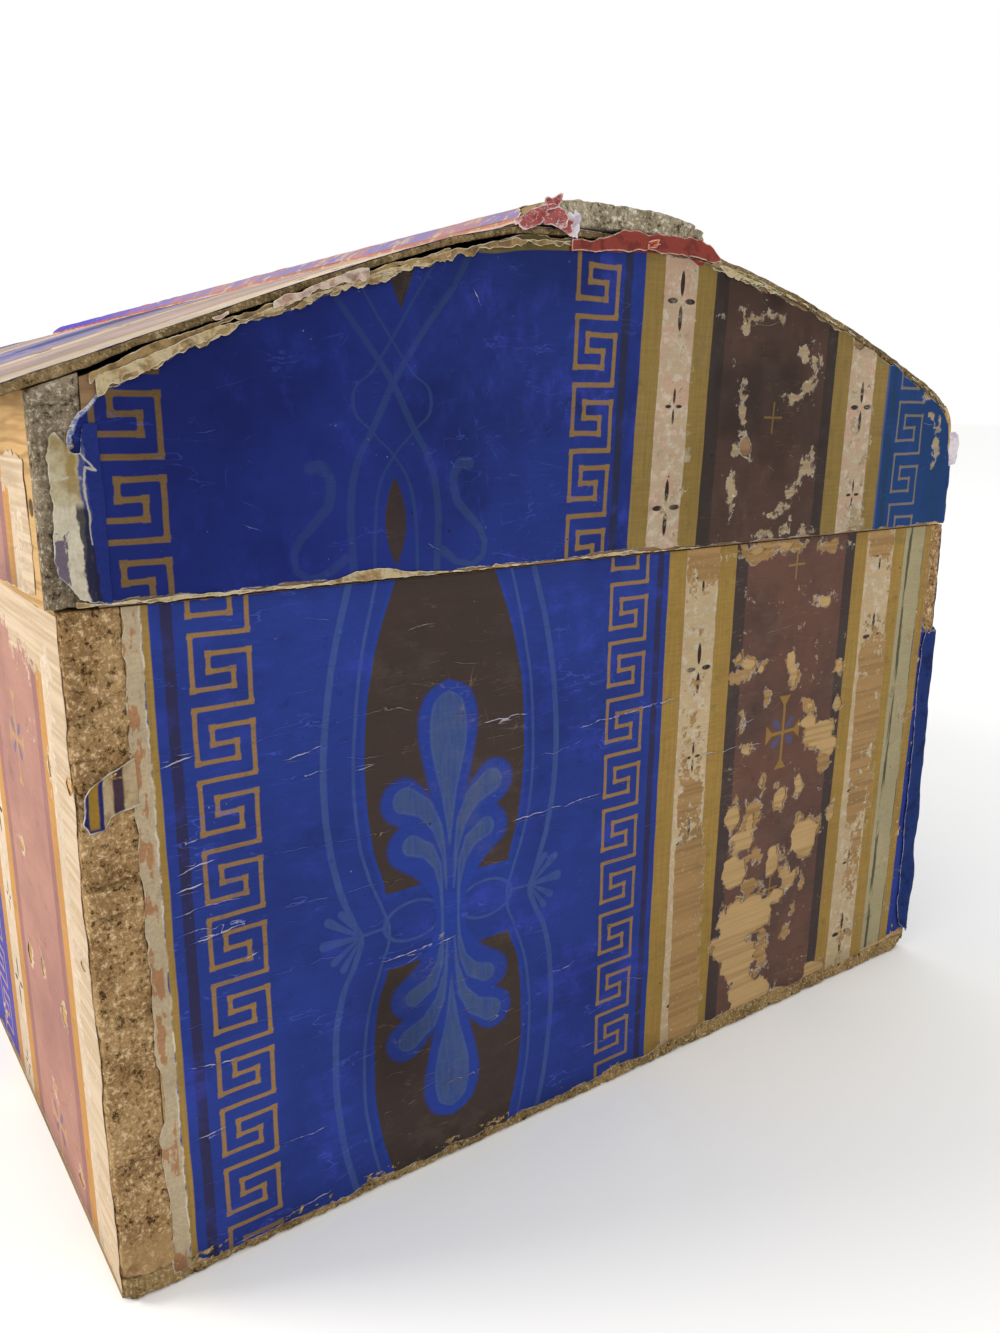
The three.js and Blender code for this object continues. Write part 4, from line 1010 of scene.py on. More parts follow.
cracks = [
    (164, 207, 197, 209, 1), (221, 196.5, 288, 201, 1), (183, 159, 240, 161, 1), (114, 110.5, 157, 112, 1), (78, 199.5, 99, 202, 0.9), (105, 198, 118, 199.5, 0.8),
    (120, 223, 136, 219, 0.8), (131, 253, 147, 254.5, 0.7), (62, 44, 92, 42.5, 0.8), (146, 39, 171, 40, 0.7), (205, 76, 226, 77, 0.8), (300, 168, 352, 166, 0.9),
    (324, 176, 346, 181, 0.8), (240, 124, 262, 126, 0.6), (224, 29, 250, 26, 0.7), (27, 214, 45, 218, 1.2), (31, 184, 44, 184.5, 1.1), (31, 172, 51, 175.5, 1.2), (30, 165, 45, 167, 1.3), (28, 157, 60, 157.5, 0.8), (34, 143.5, 62, 147, 1.2), (29, 148, 60, 149, 0.8), (55, 131, 64, 132.5, 1.0), (74, 208, 96, 212.5, 1.0),
    (30, 92, 56, 90, 1.1), (30, 60, 48, 62, 1.0), (60, 218, 128, 222, 0.45), (64, 172, 124, 169, 0.5), (70, 148, 130, 146, 0.5), (70, 120, 104, 121, 0.5), (198, 186, 232, 191, 0.6), (170, 62, 188, 66, 0.7), (126, 106, 139, 109, 0.8), (24, 10.2, 42, 7.4, 0.7), (42, 7.4, 66, 5.5, 0.7), (64, 7, 92, 11, 0.9),
    (330, 214, 362, 210, 0.6), (346, 226, 372, 229, 0.5), (252, 58, 272, 52, 0.7), (84, 264, 103, 260, 0.5), (100, 205, 122, 202, 0.6),
] + random_marks(11, 150, (28, 268, 8, 262), 3, 19, 0.13, 0.16, 0.5) + random_marks(12, 34, (28, 62, 8, 262), 4, 14, 0.12, 0.25, 0.6) + random_marks(13, 34, (300, 420, 10, 270), 3, 12, 0.3, 0.15, 0.45)
crk, crw = marks(Y, Z, cracks, 5)
scratches = random_marks(21, 30, (150, 240, 190, 268), 8, 44, 1.2, 0.3, 0.9) + random_marks(22, 24, (60, 240, 14, 190), 6, 30, 1.0, 0.2, 0.6)
scr, scw = marks(Y, Z, scratches, 6, 0.6)
dirt = sstep(20, 2, Z) * (0.55 + 0.3 * noise2(Y, Z, 18, 6, 3)) + 0.5 * sstep(30, 8, np.hypot((Y - 123) / 1.0, (Z - 77) / 1.6)) + 0.22 * sstep(265, 274, Z)
one = interp(Z, [(0, 0.75), (20, 0.95), (80, 1.0), (118, 0.85), (135, 0.62), (150, 0.8), (165, 0.55), (200, 0.4), (240, 0.36), (258, 0.5), (266, 0.95), (274, 1.0)]) * sstep(287.6, 289.6, Y) * sstep(312.0, 310.4, Y)
one = one - 0.35 * sstep(304, 309, Y) * (Z < 250)
two = interp(Z, [(0, 0.5), (30, 0.42), (60, 0.52), (100, 0.6), (140, 0.85), (170, 0.95), (200, 0.72), (215, 0.4), (250, 0.34), (262, 0.7), (274, 0.8)]) * sstep(427.4, 429.4, Y) * sstep(453.6, 451.6, Y)
two = two - 0.25 * sstep(442, 448, Y) * (Z < 180)
mid = sstep(322, 328, Y) * sstep(420, 412, Y) * (0.12 + 0.10 * sstep(0.0, 0.9, noise2(Y, Z, 38, 5, 3)) + 0.06 * sstep(190, 215, Z) * sstep(262, 235, Z) + 0.22 * sstep(262, 273, Z) + 0.05 * sstep(140, 90, Z))
flake = np.clip(np.maximum.reduce([
    one, two, mid, 0.85 * sstep(8, 2, Z) * (0.5 + 0.5 * sstep(60, 130, Y)), 0.42 * sstep(462, 466, Y) * sstep(484, 480, Y) * sstep(0.1, 0.9, noise2(Y, Z, 22, 2, 3)), 0.75 * sstep(484, 488, Y) * sstep(203, 211, Z)]), 0, 1)
lift = 0.00009 * noise2(Y, Z, 40, 8, 3) + 0.00004 * noise2(Y, Z, 7, 10, 3) + 0.00035 * sstep(3.0, 0.0, K) * sstep(0.0, 0.8, noise2(Y, Z, 11, 12, 2))
G = np.stack([0.39948 + lift, (Y - 250) / 1000, Z / 1000], -1)
sheet("base_right_end_paper_printed", G, K, dict(pap=PAP, crk=crk, crw=crw, scr=scr, scw=scw, dirt=np.clip(dirt, 0, 1), flake=flake, bare=bare), M_BASE_END, "base",
      thick=0.00014, node="base_right_end_paper", inward=(-1, 0, 0))

# ---------------------------------------------------------------- paper on the near end of the lid
Y, Z = end_grid(-2.0, 500.6, 275.0, 413.5, 1.5)
shift = interp(Y, [(0, 0), (150, 0), (218, 5.4), (256, 7.4), (400, 5), (500, 3.8)])
drift = shift * np.clip((400 - Z) / 125, 0, 1)
PAP = np.stack([Y + drift, Z, np.zeros_like(Y)], -1)
short = interp(Y, [(0, 26), (8, 22), (18, 13.4), (34, 12.8), (39, 10.6), (46, 8.8), (62, 8.2), (70, 7.0), (126, 7.6), (131, 6.8), (150, 7.4), (165, 6.0), (190, 3.2), (214, 4.5), (296, 5.0), (330, 7.6), (370, 5.2), (400, 4.3), (440, 4.0), (470, 4.8), (485, 6.2), (500, 8)])
topedge = dome_z(Y) - short - Z + noise2(Y, Y * 0, 9, 6, 4) * 1.5 + noise2(Y, Z, 4, 8, 2) * 0.4
rise = interp(Y, [(0, 3.4), (20, 1.0), (60, 0.5), (120, 1.5), (150, 0.3), (210, 0.8), (250, 1.9), (300, 0.1), (500, 0.1)])
lower = Z - (275.2 + rise) + noise2(Y, Y * 0, 7, 3, 4) * 0.9
leftl = Y - interp(Z, [(275, 12), (284, 9.5), (300, 8.2), (330, 8.0), (338, 11), (346, 17), (352, 20)]) + noise2(Z, Y * 0, 11, 2, 4) * 1.6
rightl = (interp(Z, [(275, 499.6), (308, 499.4), (318, 496), (326, 495), (334, 492), (342, 484)]) - Y) + noise2(Z, Y * 0, 14, 4, 4) * 1.0
keep = blobs(Y, Z, 7, [(324.7, 322, 3.6, 4.4), (408, 373, 5, 2.6)], 1.6)
rubs = blobs(Y, Z, 5, [(373, 312, 4.6, 6.0), (366, 304, 2.4, 2.6), (360, 299, 3.6, 2.6), (354, 291, 4.4, 2.2), (347, 287, 2.6, 1.8), (357, 280, 3.4, 2), (343, 278.5, 4, 1.6), (372, 277.5, 3.4, 2), (360, 345, 5, 1.6), (369, 351, 3.4, 2.6),
                       (373, 360, 1.7, 5.4), (378, 366, 1.5, 3), (365, 366, 1.6, 3.6), (319.5, 383, 1.4, 3.2), (327, 382, 4.4, 0.9), (338, 383, 3.4, 0.9), (316, 303, 1.0, 3.4), (322, 336, 1.2, 4), (484, 322, 1.4, 5), (477, 338, 2.4, 1.6),
                       (472, 347, 3, 1.4), (318, 320, 1.8, 1.8)], 1.5)
K = np.minimum.reduce([keep, topedge, lower, leftl, rightl])
bare = np.clip(np.minimum(keep, rubs), -8, 12)
crk, crw = marks(Y, Z, [(142, 288, 150, 283, 0.8), (165, 387, 170, 378, 0.9), (65, 300, 74, 296, 0.7), (50, 331, 60, 333, 0.5), (420, 326, 438, 329, 0.4), (466, 333, 488, 330, 0.8), (470, 305, 478, 309, 0.5), (312, 377, 350, 381, 0.5)]
                 + random_marks(31, 22, (14, 245, 278, 392), 2, 8, 1.3, 0.12, 0.4) + random_marks(32, 26, (300, 388, 278, 392), 2, 9, 0.9, 0.2, 0.55), 7)
scr, scw = marks(Y, Z, random_marks(33, 36, (146, 205, 280, 336), 7, 40, 0.9, 0.3, 1.0) + random_marks(34, 22, (48, 110, 300, 372), 6, 30, 1.4, 0.3, 0.85) + random_marks(35, 16, (110, 215, 330, 396), 6, 26, 1.3, 0.2, 0.6), 8, 0.5)
dirt = 0.34 * sstep(-0.2, 0.9, noise2(Y, Z, 55, 9, 3)) * sstep(240, 200, Y) + 0.34 * sstep(130, 40, Y) + 0.38 * sstep(56, 8, dome_z(Y) - Z) * sstep(235, 190, Y) + 0.3 * sstep(14, 0, dome_z(Y) - Z)
dirt = dirt + sstep(300, 303, Y) * sstep(392, 389, Y) * (0.42 * sstep(366, 396, Z + 6 * noise2(Y, Z, 18, 3, 3)) + 0.4 * sstep(0.15, 0.8, noise2(Y, Z, 24, 11, 3)))
flake = np.clip(np.maximum.reduce([
    (0.30 + 0.16 * sstep(0.0, 0.9, noise2(Y, Z, 18, 7, 3))) * sstep(267, 269, Y) * sstep(289, 287.5, Y), (0.42 + 0.16 * sstep(300, 280, Z)) * sstep(402.6, 404.6, Y) * sstep(425, 423.4, Y),
    0.15 * sstep(299, 304, Y) * sstep(393, 388, Y) * (0.75 + 0.5 * sstep(0.1, 0.9, noise2(Y, Z, 26, 5, 3))), 0.40 * sstep(470, 488, Y) * sstep(0.0, 0.8, noise2(Y, Z, 20, 4, 3))]), 0, 1)
lift = 0.00009 * noise2(Y, Z, 40, 18, 3) + 0.00004 * noise2(Y, Z, 7, 10, 3) + 0.00045 * sstep(3.0, 0.0, K) * sstep(0.0, 0.8, noise2(Y, Z, 9, 12, 2))
G = np.stack([0.39948 + lift, (Y - 250) / 1000, Z / 1000], -1)
sheet("lid_right_end_paper_printed", G, K, dict(pap=PAP, crk=crk, crw=crw, scr=scr, scw=scw, dirt=np.clip(dirt, 0, 1), flake=flake, bare=bare), M_LID_END, "lid",
      thick=0.00014, node="lid_right_end_paper", inward=(-1, 0, 0))


# ---------------------------------------------------------------- the other papered faces
def plain_attrs(a, b, seed, cracks_n, extra=()):
    crk, crw = marks(a, b, list(extra) + random_marks(seed, cracks_n, (a.min(), a.max(), b.min(), b.max()), 3, 22, 0.5, 0.2, 0.7), seed)
    scr, scw = marks(a, b, random_marks(seed + 1, cracks_n // 2, (a.min(), a.max(), b.min(), b.max()), 8, 36, 1.3, 0.2, 0.7), seed + 1, 0.6)
    return dict(crk=crk, crw=crw, scr=scr, scw=scw)


def random_blobs(seed, n, box, lo, hi):
    r = np.random.default_rng(seed)
    return [(r.uniform(box[0], box[1]), r.uniform(box[2], box[3]), *(r.uniform(lo, hi, 2))) for _ in range(n)]


def wall(name, node, seed, z0, z1, at, mat, axis, lo, hi, offset, inward, body, holes=(), extra_keep=None, step=2.4, flake=None):
    """A papered flat face. a runs along the face in millimetres from its right-hand corner of the CAD frame."""
    A, B = end_grid(lo, hi, z0, z1, step)
    u = offset(A)
    hole = blobs(A, B, seed % 7, list(holes) + random_blobs(seed, 14, (lo, hi, z0, z1), 1.6, 5.5), 2.2)
    K = np.minimum.reduce([
        hole,
        A - lo - 0.8 + noise2(B, A * 0, 12, seed % 9, 4) * 1.0, hi - A - 0.8 + noise2(B, A * 0, 13, (seed + 2) % 9, 4) * 1.0,
        B - z0 - 2.2 + noise2(A, A * 0, 17, (seed + 4) % 9, 4) * 2.0, z1 - B - 0.5 + noise2(A, A * 0, 10, (seed + 5) % 9, 4) * 0.7,
    ])
    if extra_keep is not None:
        K = np.minimum(K, extra_keep(A, B))
    at_m = at / 1000
    lift = 0.00009 * noise2(A, B, 40, seed % 5, 3) + 0.0003 * sstep(3.0, 0, K) * sstep(0, 0.8, noise2(A, B, 12, seed % 7, 2))
    bare = np.clip(hole, -8, 12)
    out = -np.asarray(inward, float)
    if axis == "x":
        G = np.stack([A / 1000, np.full_like(A, at_m), B / 1000], -1)
    else:
        G = np.stack([np.full_like(A, at_m), A / 1000, B / 1000], -1)
    G = G + lift[..., None] * out
    # the sheet's front must face out
    if axis == "x" and inward[1] < 0 or axis == "y" and inward[0] > 0:
        G, K, u, A, B, bare = G[::-1], K[::-1], u[::-1], A[::-1], B[::-1], bare[::-1]
    at_ = plain_attrs(A, B, seed, 90)
    dirt = np.clip(sstep(z0 + 18, z0, B) * 0.5 + 0.2 * noise2(A, B, 60, 2, 3), 0, 1)
    fl = flake(A, B) if flake else np.clip(0.5 * sstep(0.3, 0.9, noise2(A, B, 40, seed % 9, 3)) + 0.5 * sstep(z0 + 14, z0, B) + 0.4 * sstep(z1 - 8, z1, B), 0, 1)
    return sheet(name, G, K, dict(pap=np.stack([u, B, np.zeros_like(u)], -1), dirt=dirt, flake=fl, bare=bare, **at_), mat, body, thick=0.00014, node=node, inward=inward)


def keyhole_gap(A, B):
    return np.minimum(np.hypot(A, B - 248) - 4, np.maximum(np.abs(A) - 2.3, np.abs(B - 242) - 6)) + noise2(A, B, 5, 2, 2) * 0.3


def from_corner(A):
    return A + 64


def front_wear(A, B):
    c = 399.5 - A
    corner = np.minimum(c - 3.6 + noise2(B, c * 0, 14, 3, 4) * 2.4, np.hypot((c - 14) / 1.4, (B - 140) / 0.6) - 3.0)
    top = 272.8 - B + noise2(c, B * 0, 12, 5, 4) * 1.5
    return np.minimum(np.minimum(corner, top), keyhole_gap(A, B))


def front_flake(A, B):
    c = 399.5 - A
    top = sstep(232, 268, B + noise2(c, B, 30, 5, 3) * 12) * (0.55 + 0.45 * sstep(160, 60, c))
    edge = 0.8 * sstep(34, 20, c) + 0.4 * sstep(10, 0, B)
    rubs = 0.42 * sstep(0.35, 0.9, noise2(c, B, 44, 7, 3))
    return np.clip(np.maximum.reduce([top, edge, rubs]), 0, 1)


wall("base_front_paper_printed", "base_front_paper", 41, 3, 273.6, -249.43, M_FRONT, "x", -399.2, 399.4, from_corner, (0, 1, 0), "base",
     holes=[(392, 212, 4, 3)], extra_keep=front_wear, step=2.2, flake=front_flake)


def lid_front_wear(A, B):
    s = 399.5 - A
    return np.minimum(326 - B + noise2(s, B, 24, 5, 4) * 7 + sstep(60, 300, s) * 12, s - 12 + noise2(B, s, 10, 3, 4) * 5)


wall("lid_front_paper_printed", "lid_front_paper", 43, 275.2, 345, -252.43, M_FRONT, "x", -399.2, 399.4, lambda A: from_corner(A) + 8, (0, 1, 0), "lid",
     extra_keep=lid_front_wear, step=2.2, flake=lambda A, B: np.clip(0.75 * sstep(300, 326, B) + 0.7 * sstep(60, 20, 399.5 - A) + 0.3 * sstep(0.2, 0.9, noise2(A, B, 30, 4, 3)), 0, 1))
wall("base_back_paper_printed", "base_back_paper", 45, 3, 273.6, 249.43, M_OTHER, "x", -399.2, 399.2, lambda A: 500 - A, (0, -1, 0), "base", step=2.6)
wall("base_left_end_paper_printed", "base_left_end_paper", 47, 3, 273.6, -399.43, M_OTHER, "y", -249, 249, lambda A: 500 - (A + 250) - 12, (1, 0, 0), "base", step=2.2)


def far_lid_end(A, B):
    return dome_z(A + 250) - 5 - B + noise2(A, A * 0, 9, 7, 4) * 1.4


wall("lid_left_end_paper_printed", "lid_left_end_paper", 49, 275.2, 411, -399.43, M_OTHER, "y", -250.5, 249, lambda A: 500 - (A + 250) - 12, (1, 0, 0), "lid",
     extra_keep=far_lid_end, step=2.2)

# ---------------------------------------------------------------- boards with worn ends
def end_mesh(ys, zb, zt, nz, X0, X1, seed, sgn, rnd=2.6, depth=1.0, cracks=(), corner=None, snug="", chop=None):
    """A closed block from X0 to about X1: one worn, granular end face and its side walls."""
    na = len(ys)
    T = np.linspace(0, 1, nz)[None, :]
    Yg = np.repeat(ys[:, None], nz, 1)
    Zg = zb[:, None] + (zt - zb)[:, None] * T
    flush = {k: 2.2 * (k in snug) for k in "lrbt"}
    d = np.minimum(np.minimum(Yg - ys[0] + flush["l"], ys[-1] - Yg + flush["r"]), np.minimum(Zg - zb[:, None] + flush["b"], zt[:, None] - Zg + flush["t"]))
    r = np.clip(rnd * (1 + 0.5 * noise2(Yg, Zg, 14, seed, 3)), 0.25, None)
    drop = r - np.sqrt(np.clip(r * r - (r - np.minimum(d, r)) ** 2, 0, None))
    pit = 0.55 * noise2(Yg, Zg, 11, seed + 1, 3) + 0.75 * np.abs(noise2(Yg, Zg, 3.4, seed + 2, 3)) + 0.45 * noise2(Yg, Zg, 1.7, seed + 4, 2)
    pit = pit + 1.2 * sstep(0.55, 1.0, noise2(Yg, Zg, 5.2, seed + 6, 2))
    for zc, y0, y1, w, dep in cracks:
        line = np.abs(Zg - zc - 0.9 * noise2(Yg, Yg * 0, 6, seed, 3)) / w
        pit = pit + dep * sstep(1.0, 0.2, line) * (Yg > y0) * (Yg < y1)
    x = X1 - drop - np.clip(pit * depth, -0.5, 3.4)
    if corner is not None:
        x = x - corner(Yg, Zg)
    x = np.maximum(x, X0 + 0.4)
    pull = sstep(1.6, 0.0, d) * np.clip(0.35 + 0.45 * noise2(Yg, Zg, 5, seed + 5, 2), 0, None) * min(1.0, (ys[-1] - ys[0]) / 8, float((zt - zb).max()) / 8)
    cy, cz = (ys[0] + ys[-1]) / 2, (zb + zt)[:, None] / 2
    Yp = Yg - np.sign(Yg - cy) * pull * (np.minimum(Yg - ys[0], ys[-1] - Yg) < 1.6)
    Zp = Zg - np.sign(Zg - cz) * pull * (np.minimum(Zg - zb[:, None], zt[:, None] - Zg) < 1.6)
    if chop is not None:
        Yp, Zp = chop(Yp, Zp)
    V = np.stack([x, Yp, Zp], -1).reshape(-1, 3)
    idx = np.arange(na * nz).reshape(na, nz)
    F = [np.stack([idx[:-1, :-1], idx[1:, :-1], idx[1:, 1:], idx[:-1, 1:]], -1).reshape(-1, 4)]
    loop = np.concatenate([idx[:, 0], idx[-1, 1:], idx[-2::-1, -1], idx[0, -2:0:-1]])
    true = np.stack([np.zeros_like(Yg), Yg, Zg], -1).reshape(-1, 3)[loop]
    rows, prev = 4, loop
    verts = [V]
    n = len(V)
    for k in range(1, rows + 1):
        f = k / rows
        P = V[loop] * (1 - f) + true * f
        P[:, 0] = V[loop, 0] * (1 - f) + X0 * f
        cur = n + np.arange(len(loop))
        verts.append(P)
        n += len(loop)
        F.append(np.stack([prev, cur, np.roll(cur, -1), np.roll(prev, -1)], -1))
        prev = cur
    V = np.vstack(verts)
    V[:, 0] *= sgn
    if sgn < 0:
        F = [f[:, ::-1] for f in F]
        prev = prev[::-1]
    return V / 1000, F, prev[::-1]


def worn_board(node, body, slot, section, side_mat, end_mat, nz, step=0.9, X0=394.0, X1=399.3, ends=(1, -1), **kw):
    """A board cut from its CAD solid, with worn ends of its own. section(ys) gives the lower and upper z."""
    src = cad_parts[node]
    bm = bmesh.new()
    bm.from_mesh(src.data)
    for sgn in ends:
        bmesh.ops.bisect_plane(bm, geom=bm.verts[:] + bm.edges[:] + bm.faces[:], plane_co=(sgn * X0 / 1000, 0, 0), plane_no=(sgn, 0, 0), clear_outer=True, dist=1e-7)
        rim = [e for e in bm.edges if e.is_boundary]
        bmesh.ops.edgeloop_fill(bm, edges=rim)
    for f in bm.faces:
        f.material_index = 0
        f.smooth = False
    y0, y1, sect = section
    ys = np.linspace(y0, y1, max(5, int(round((y1 - y0) / step)) + 1))
    zb, zt = sect(ys)
    for i, sgn in enumerate(ends):
        opt = dict(kw)
        if sgn < 0:
            opt.pop("cracks", None)
        V, F, cap = end_mesh(ys, zb, zt, nz, X0, X1, opt.pop("seed", 3) + 3 * i, sgn, **opt)
        vs = [bm.verts.new(v) for v in V]
        for block in F:
            for q in block:
                f = bm.faces.new([vs[j] for j in q])
                f.material_index, f.smooth = 1, True
        f = bm.faces.new([vs[j] for j in cap])
        f.material_index = 1
    bmesh.ops.recalc_face_normals(bm, faces=bm.faces[:])
    me = bpy.data.meshes.new(node + "_worn")
    bm.to_mesh(me)
    bm.free()
    me.materials.append(side_mat)
    me.materials.append(end_mat)
    o = bpy.data.objects.new(node + "_worn", me)
    scene.collection.objects.link(o)
    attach(o, body)
    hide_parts(node)
    return o


def flat(z0, z1):
    return lambda ys: (np.full_like(ys, z0), np.full_like(ys, z1))


def inset_z(y, d):
    """Height of the line d below the outline of the dome, at CAD y."""
    P = DOME.copy()
    t = np.gradient(P, axis=0)
    t /= np.linalg.norm(t, axis=1)[:, None]
    Q = P + np.stack([t[:, 1], -t[:, 0]], -1) * d
    return np.interp(y + 250, Q[:, 0], Q[:, 1])


def round_front(y, z, r=8.5):
    """The lower front corner of the bottom, knocked round."""
    dy, dz = np.minimum(y - (-249.2 + r), 0), np.minimum(z - r, 0)
    q = np.hypot(dy, dz)
    k = np.where(q > r, r / np.maximum(q, 1e-9), 1.0)
    return np.where(dy < 0, -249.2 + r + dy * k, y), np.where(dz < 0, r + dz * k, z)


def chop_back(y, z):
    """The lower back corner of the bottom, broken off on a slant."""
    over = np.clip((y - 238.0) - z * 1.05, 0, None)
    return y - over * 0.5, z + over * 0.45


def front_corner(Y_, Z_):
    # the lower front corner is knocked round
    a, b = Y_ + 249.2, Z_ - 10.3
    return 3.0 * sstep(9, 0, np.hypot(a, b * 0.8)) + 0.8 * sstep(26, 6, Z_) * -1 * sstep(5, 14, a) + 2.2 * sstep(3.2, 0.4, np.hypot((a - 12.5) / 2.2, (Z_ - 98) / 2.6)) + 2.4 * sstep(3.4, 0.6, np.hypot(a - 5, Z_ - 13.5))


worn_board("base_front_board", "base", "pine", (-249.2, -229.2, flat(10.3, 274)), PINE_X, END_TAN, 340, step=0.8, rnd=2.6, depth=1.0, seed=3,
           cracks=[(175, -247, -230, 0.9, 2.4), (163, -246, -231, 0.8, 1.8), (61, -247, -236, 0.7, 1.4), (222, -249, -238, 0.6, 1.2)], corner=front_corner, snug="rtb")
worn_board("base_back_board", "base", "pine", (229.2, 249.2, flat(10.3, 274)), PINE_X, END_TAN, 200, step=1.2, rnd=1.4, depth=0.6, seed=5, snug="ltb")
worn_board("bottom_front_board", "base", "old_pine", (-249.2, 59.8, flat(0.0, 10)), OLD_X, END_TAN_DARK, 14, step=1.1, rnd=1.6, depth=0.8, seed=6, snug="rt", chop=round_front)
worn_board("bottom_back_board", "base", "old_pine", (60.2, 249.2, flat(0.0, 10)), OLD_X, END_TAN_DARK, 14, step=1.1, rnd=1.6, depth=0.8, seed=8, snug="lt", chop=chop_back)
RF = (-252.2, -236.2)
worn_board("lid_front_rail", "lid", "pine", (RF[0], RF[1], lambda ys: (np.full_like(ys, 274.6), inset_z(ys, 4.6))), PINE_X, END_RAIL, 90, step=0.8, rnd=2.2, depth=0.9, seed=9, snug="rt",
           cracks=[(341, -252, -240, 0.7, 1.6)])
worn_board("dome_front_panel", "lid", "dome_pine", (-259.6, -18.2, lambda ys: (inset_z(ys, 4.2) + 1.1 * sstep(-236, -214, ys), inset_z(ys, 0.5))), SKIN_WOOD, SKIN_END, 7, step=0.9, rnd=0.4, depth=0.3, seed=11)
worn_board("dome_back_panel", "lid", "dome_pine", (-17.8, 239.6, lambda ys: (inset_z(ys, 4.2), inset_z(ys, 0.5))), SKIN_WOOD, SKIN_END, 7, step=0.9, rnd=0.4, depth=0.3, seed=12)
BAT = [(-56, 415.5), (-47, 421.5), (-34, 423.7), (14, 423.7), (32, 421), (41, 417.5)]
worn_board("crown_batten", "lid", "old_pine", (-56, 41, lambda ys: (np.full_like(ys, 412.8), np.interp(ys, [q[0] for q in BAT], [q[1] for q in BAT]))), OLD_X, END_GREY, 16, step=0.75,
           X1=399.9, rnd=1.4, depth=0.95, seed=14)


# ---------------------------------------------------------------- papers on the dome, the back and the crown
def profile_line(points, step):
    """Points along a polyline, its outward normals and arc lengths."""
    P = np.asarray(points, float)
    L = np.concatenate([[0], np.cumsum(np.linalg.norm(np.diff(P, axis=0), axis=1))])
    t = np.linspace(0, L[-1], int(round(L[-1] / step)) + 1)
    Q = np.stack([np.interp(t, L, P[:, 0]), np.interp(t, L, P[:, 1])], -1)
    for _ in range(3):
        Q[1:-1] = (Q[:-2] + Q[1:-1] * 2 + Q[2:]) / 4
    T = np.gradient(Q, axis=0)
    T /= np.linalg.norm(T, axis=1)[:, None]
    return Q, np.stack([-T[:, 1], T[:, 0]], -1), t


def wrapped(name, node, line, x0, x1, step, mat, body, seed, u_of, v0, near=1.6, cuts=None, sink=0.52, bump=0.08, n_cracks=60, down=1):
    Q, N, t = profile_line(line, step)
    xs = np.linspace(x0, x1, int(round((x1 - x0) / (step * 1.2))) + 1)
    A, B = np.meshgrid(xs, t, indexing="ij")
    K = np.minimum.reduce([
        x1 - A - near + noise2(B, A * 0, 10, seed % 9, 4) * 1.4, A - x0 - near + noise2(B, A * 0, 12, (seed + 3) % 9, 4) * 1.4,
        B - 0.4 + noise2(A, A * 0, 14, (seed + 1) % 9, 4) * 0.5, t[-1] - B - 0.4 + noise2(A, A * 0, 15, (seed + 2) % 9, 4) * 0.5,
        blobs(A, B, seed % 7, random_blobs(seed, 22, (x0, x1, 0, t[-1]), 1.5, 6), 2.0),
    ])
    if cuts is not None:
        K = np.minimum(K, cuts(A, B))
    lift = bump * noise2(A, B, 34, seed % 8, 3) + 0.35 * sstep(3.0, 0, K) - sink
    py, pz = Q[:, 0][None, :] + N[:, 0][None, :] * lift, Q[:, 1][None, :] + N[:, 1][None, :] * lift
    G = np.stack([A, py, pz], -1) / 1000
    inward = -np.concatenate([np.zeros((len(t), 1)), N], 1)
    back = np.repeat(inward[None], len(xs), 0).reshape(-1, 3)
    at_ = plain_attrs(A, B, seed, n_cracks)
    dirt = np.clip(0.25 + 0.35 * noise2(A, B, 50, 4, 3), 0, 1)
    return sheet(name, G, K, dict(pap=np.stack([u_of(A), B * down + v0, np.zeros_like(A)], -1), dirt=dirt, back=back.reshape(len(xs), len(t), 3), **at_), mat, body, thick=0.00014, node=node, inward="back")


front_arc = [(y - 250, z) for y, z in DOME if y <= 232]
front_arc = [q for q in front_arc if q[0] < -19] + [(-18.2, 412.25)]
back_arc = [(-17.8, 412.25)] + [(y - 250, z) for y, z in DOME if 250 <= y <= 481] + [(239.4, 343.7)]
back_wall = [(249.7, 275.2), (249.7, 317.6)] + [(y - 250, z) for y, z in DOME[::-1] if 491 < y < 499.5] + [(240.8, 342.6)]


def seen_wear(A, B):
    n = noise2(A, B, 21, 5, 4) * 5 + noise2(A, B, 6, 3, 3) * 2
    return 7.5 + n + sstep(389, 340, A) * 4


wrapped("dome_front_paper_printed", "dome_front_paper", front_arc, -399.0, 399.0, 2.4, M_DOME, "lid", 51, lambda A: from_corner(A) + 10, 60.0, cuts=seen_wear, near=0.7)
wrapped("dome_back_paper_printed", "dome_back_paper", back_arc, -399.0, 399.0, 2.4, M_OTHER, "lid", 53, lambda A: 500 - A, 620.0, down=-1)
# run downwards on the outside, so that the normal faces back
wrapped("lid_back_paper_printed", "lid_back_paper", back_wall[::-1], -399.0, 399.0, 2.2, M_OTHER, "lid", 55, lambda A: 500 - A, 344.0, down=-1)

crown_line = [(-56.7, 412.9), (-56.7, 415.8), (-47.4, 422.1), (-34.1, 424.3), (14.1, 424.3), (32.3, 421.6), (41.6, 418.0), (41.6, 412.9)]


def crown_torn(A, B):
    ragged = 366 - A + 20 * noise2(B, A * 0 + 3, 16, 6, 4) + 24 * sstep(16, 3, B)
    return np.minimum(ragged, 4.5 + 4 * noise2(A, B, 17, 8, 4) + 3 * sstep(20, 6, B))


wrapped("crown_paper_printed", "crown_paper", crown_line, -399.0, 392.2, 1.5, M_CROWN, "lid", 57, lambda A: A, 0.0, cuts=crown_torn, sink=0.15, bump=0.2)


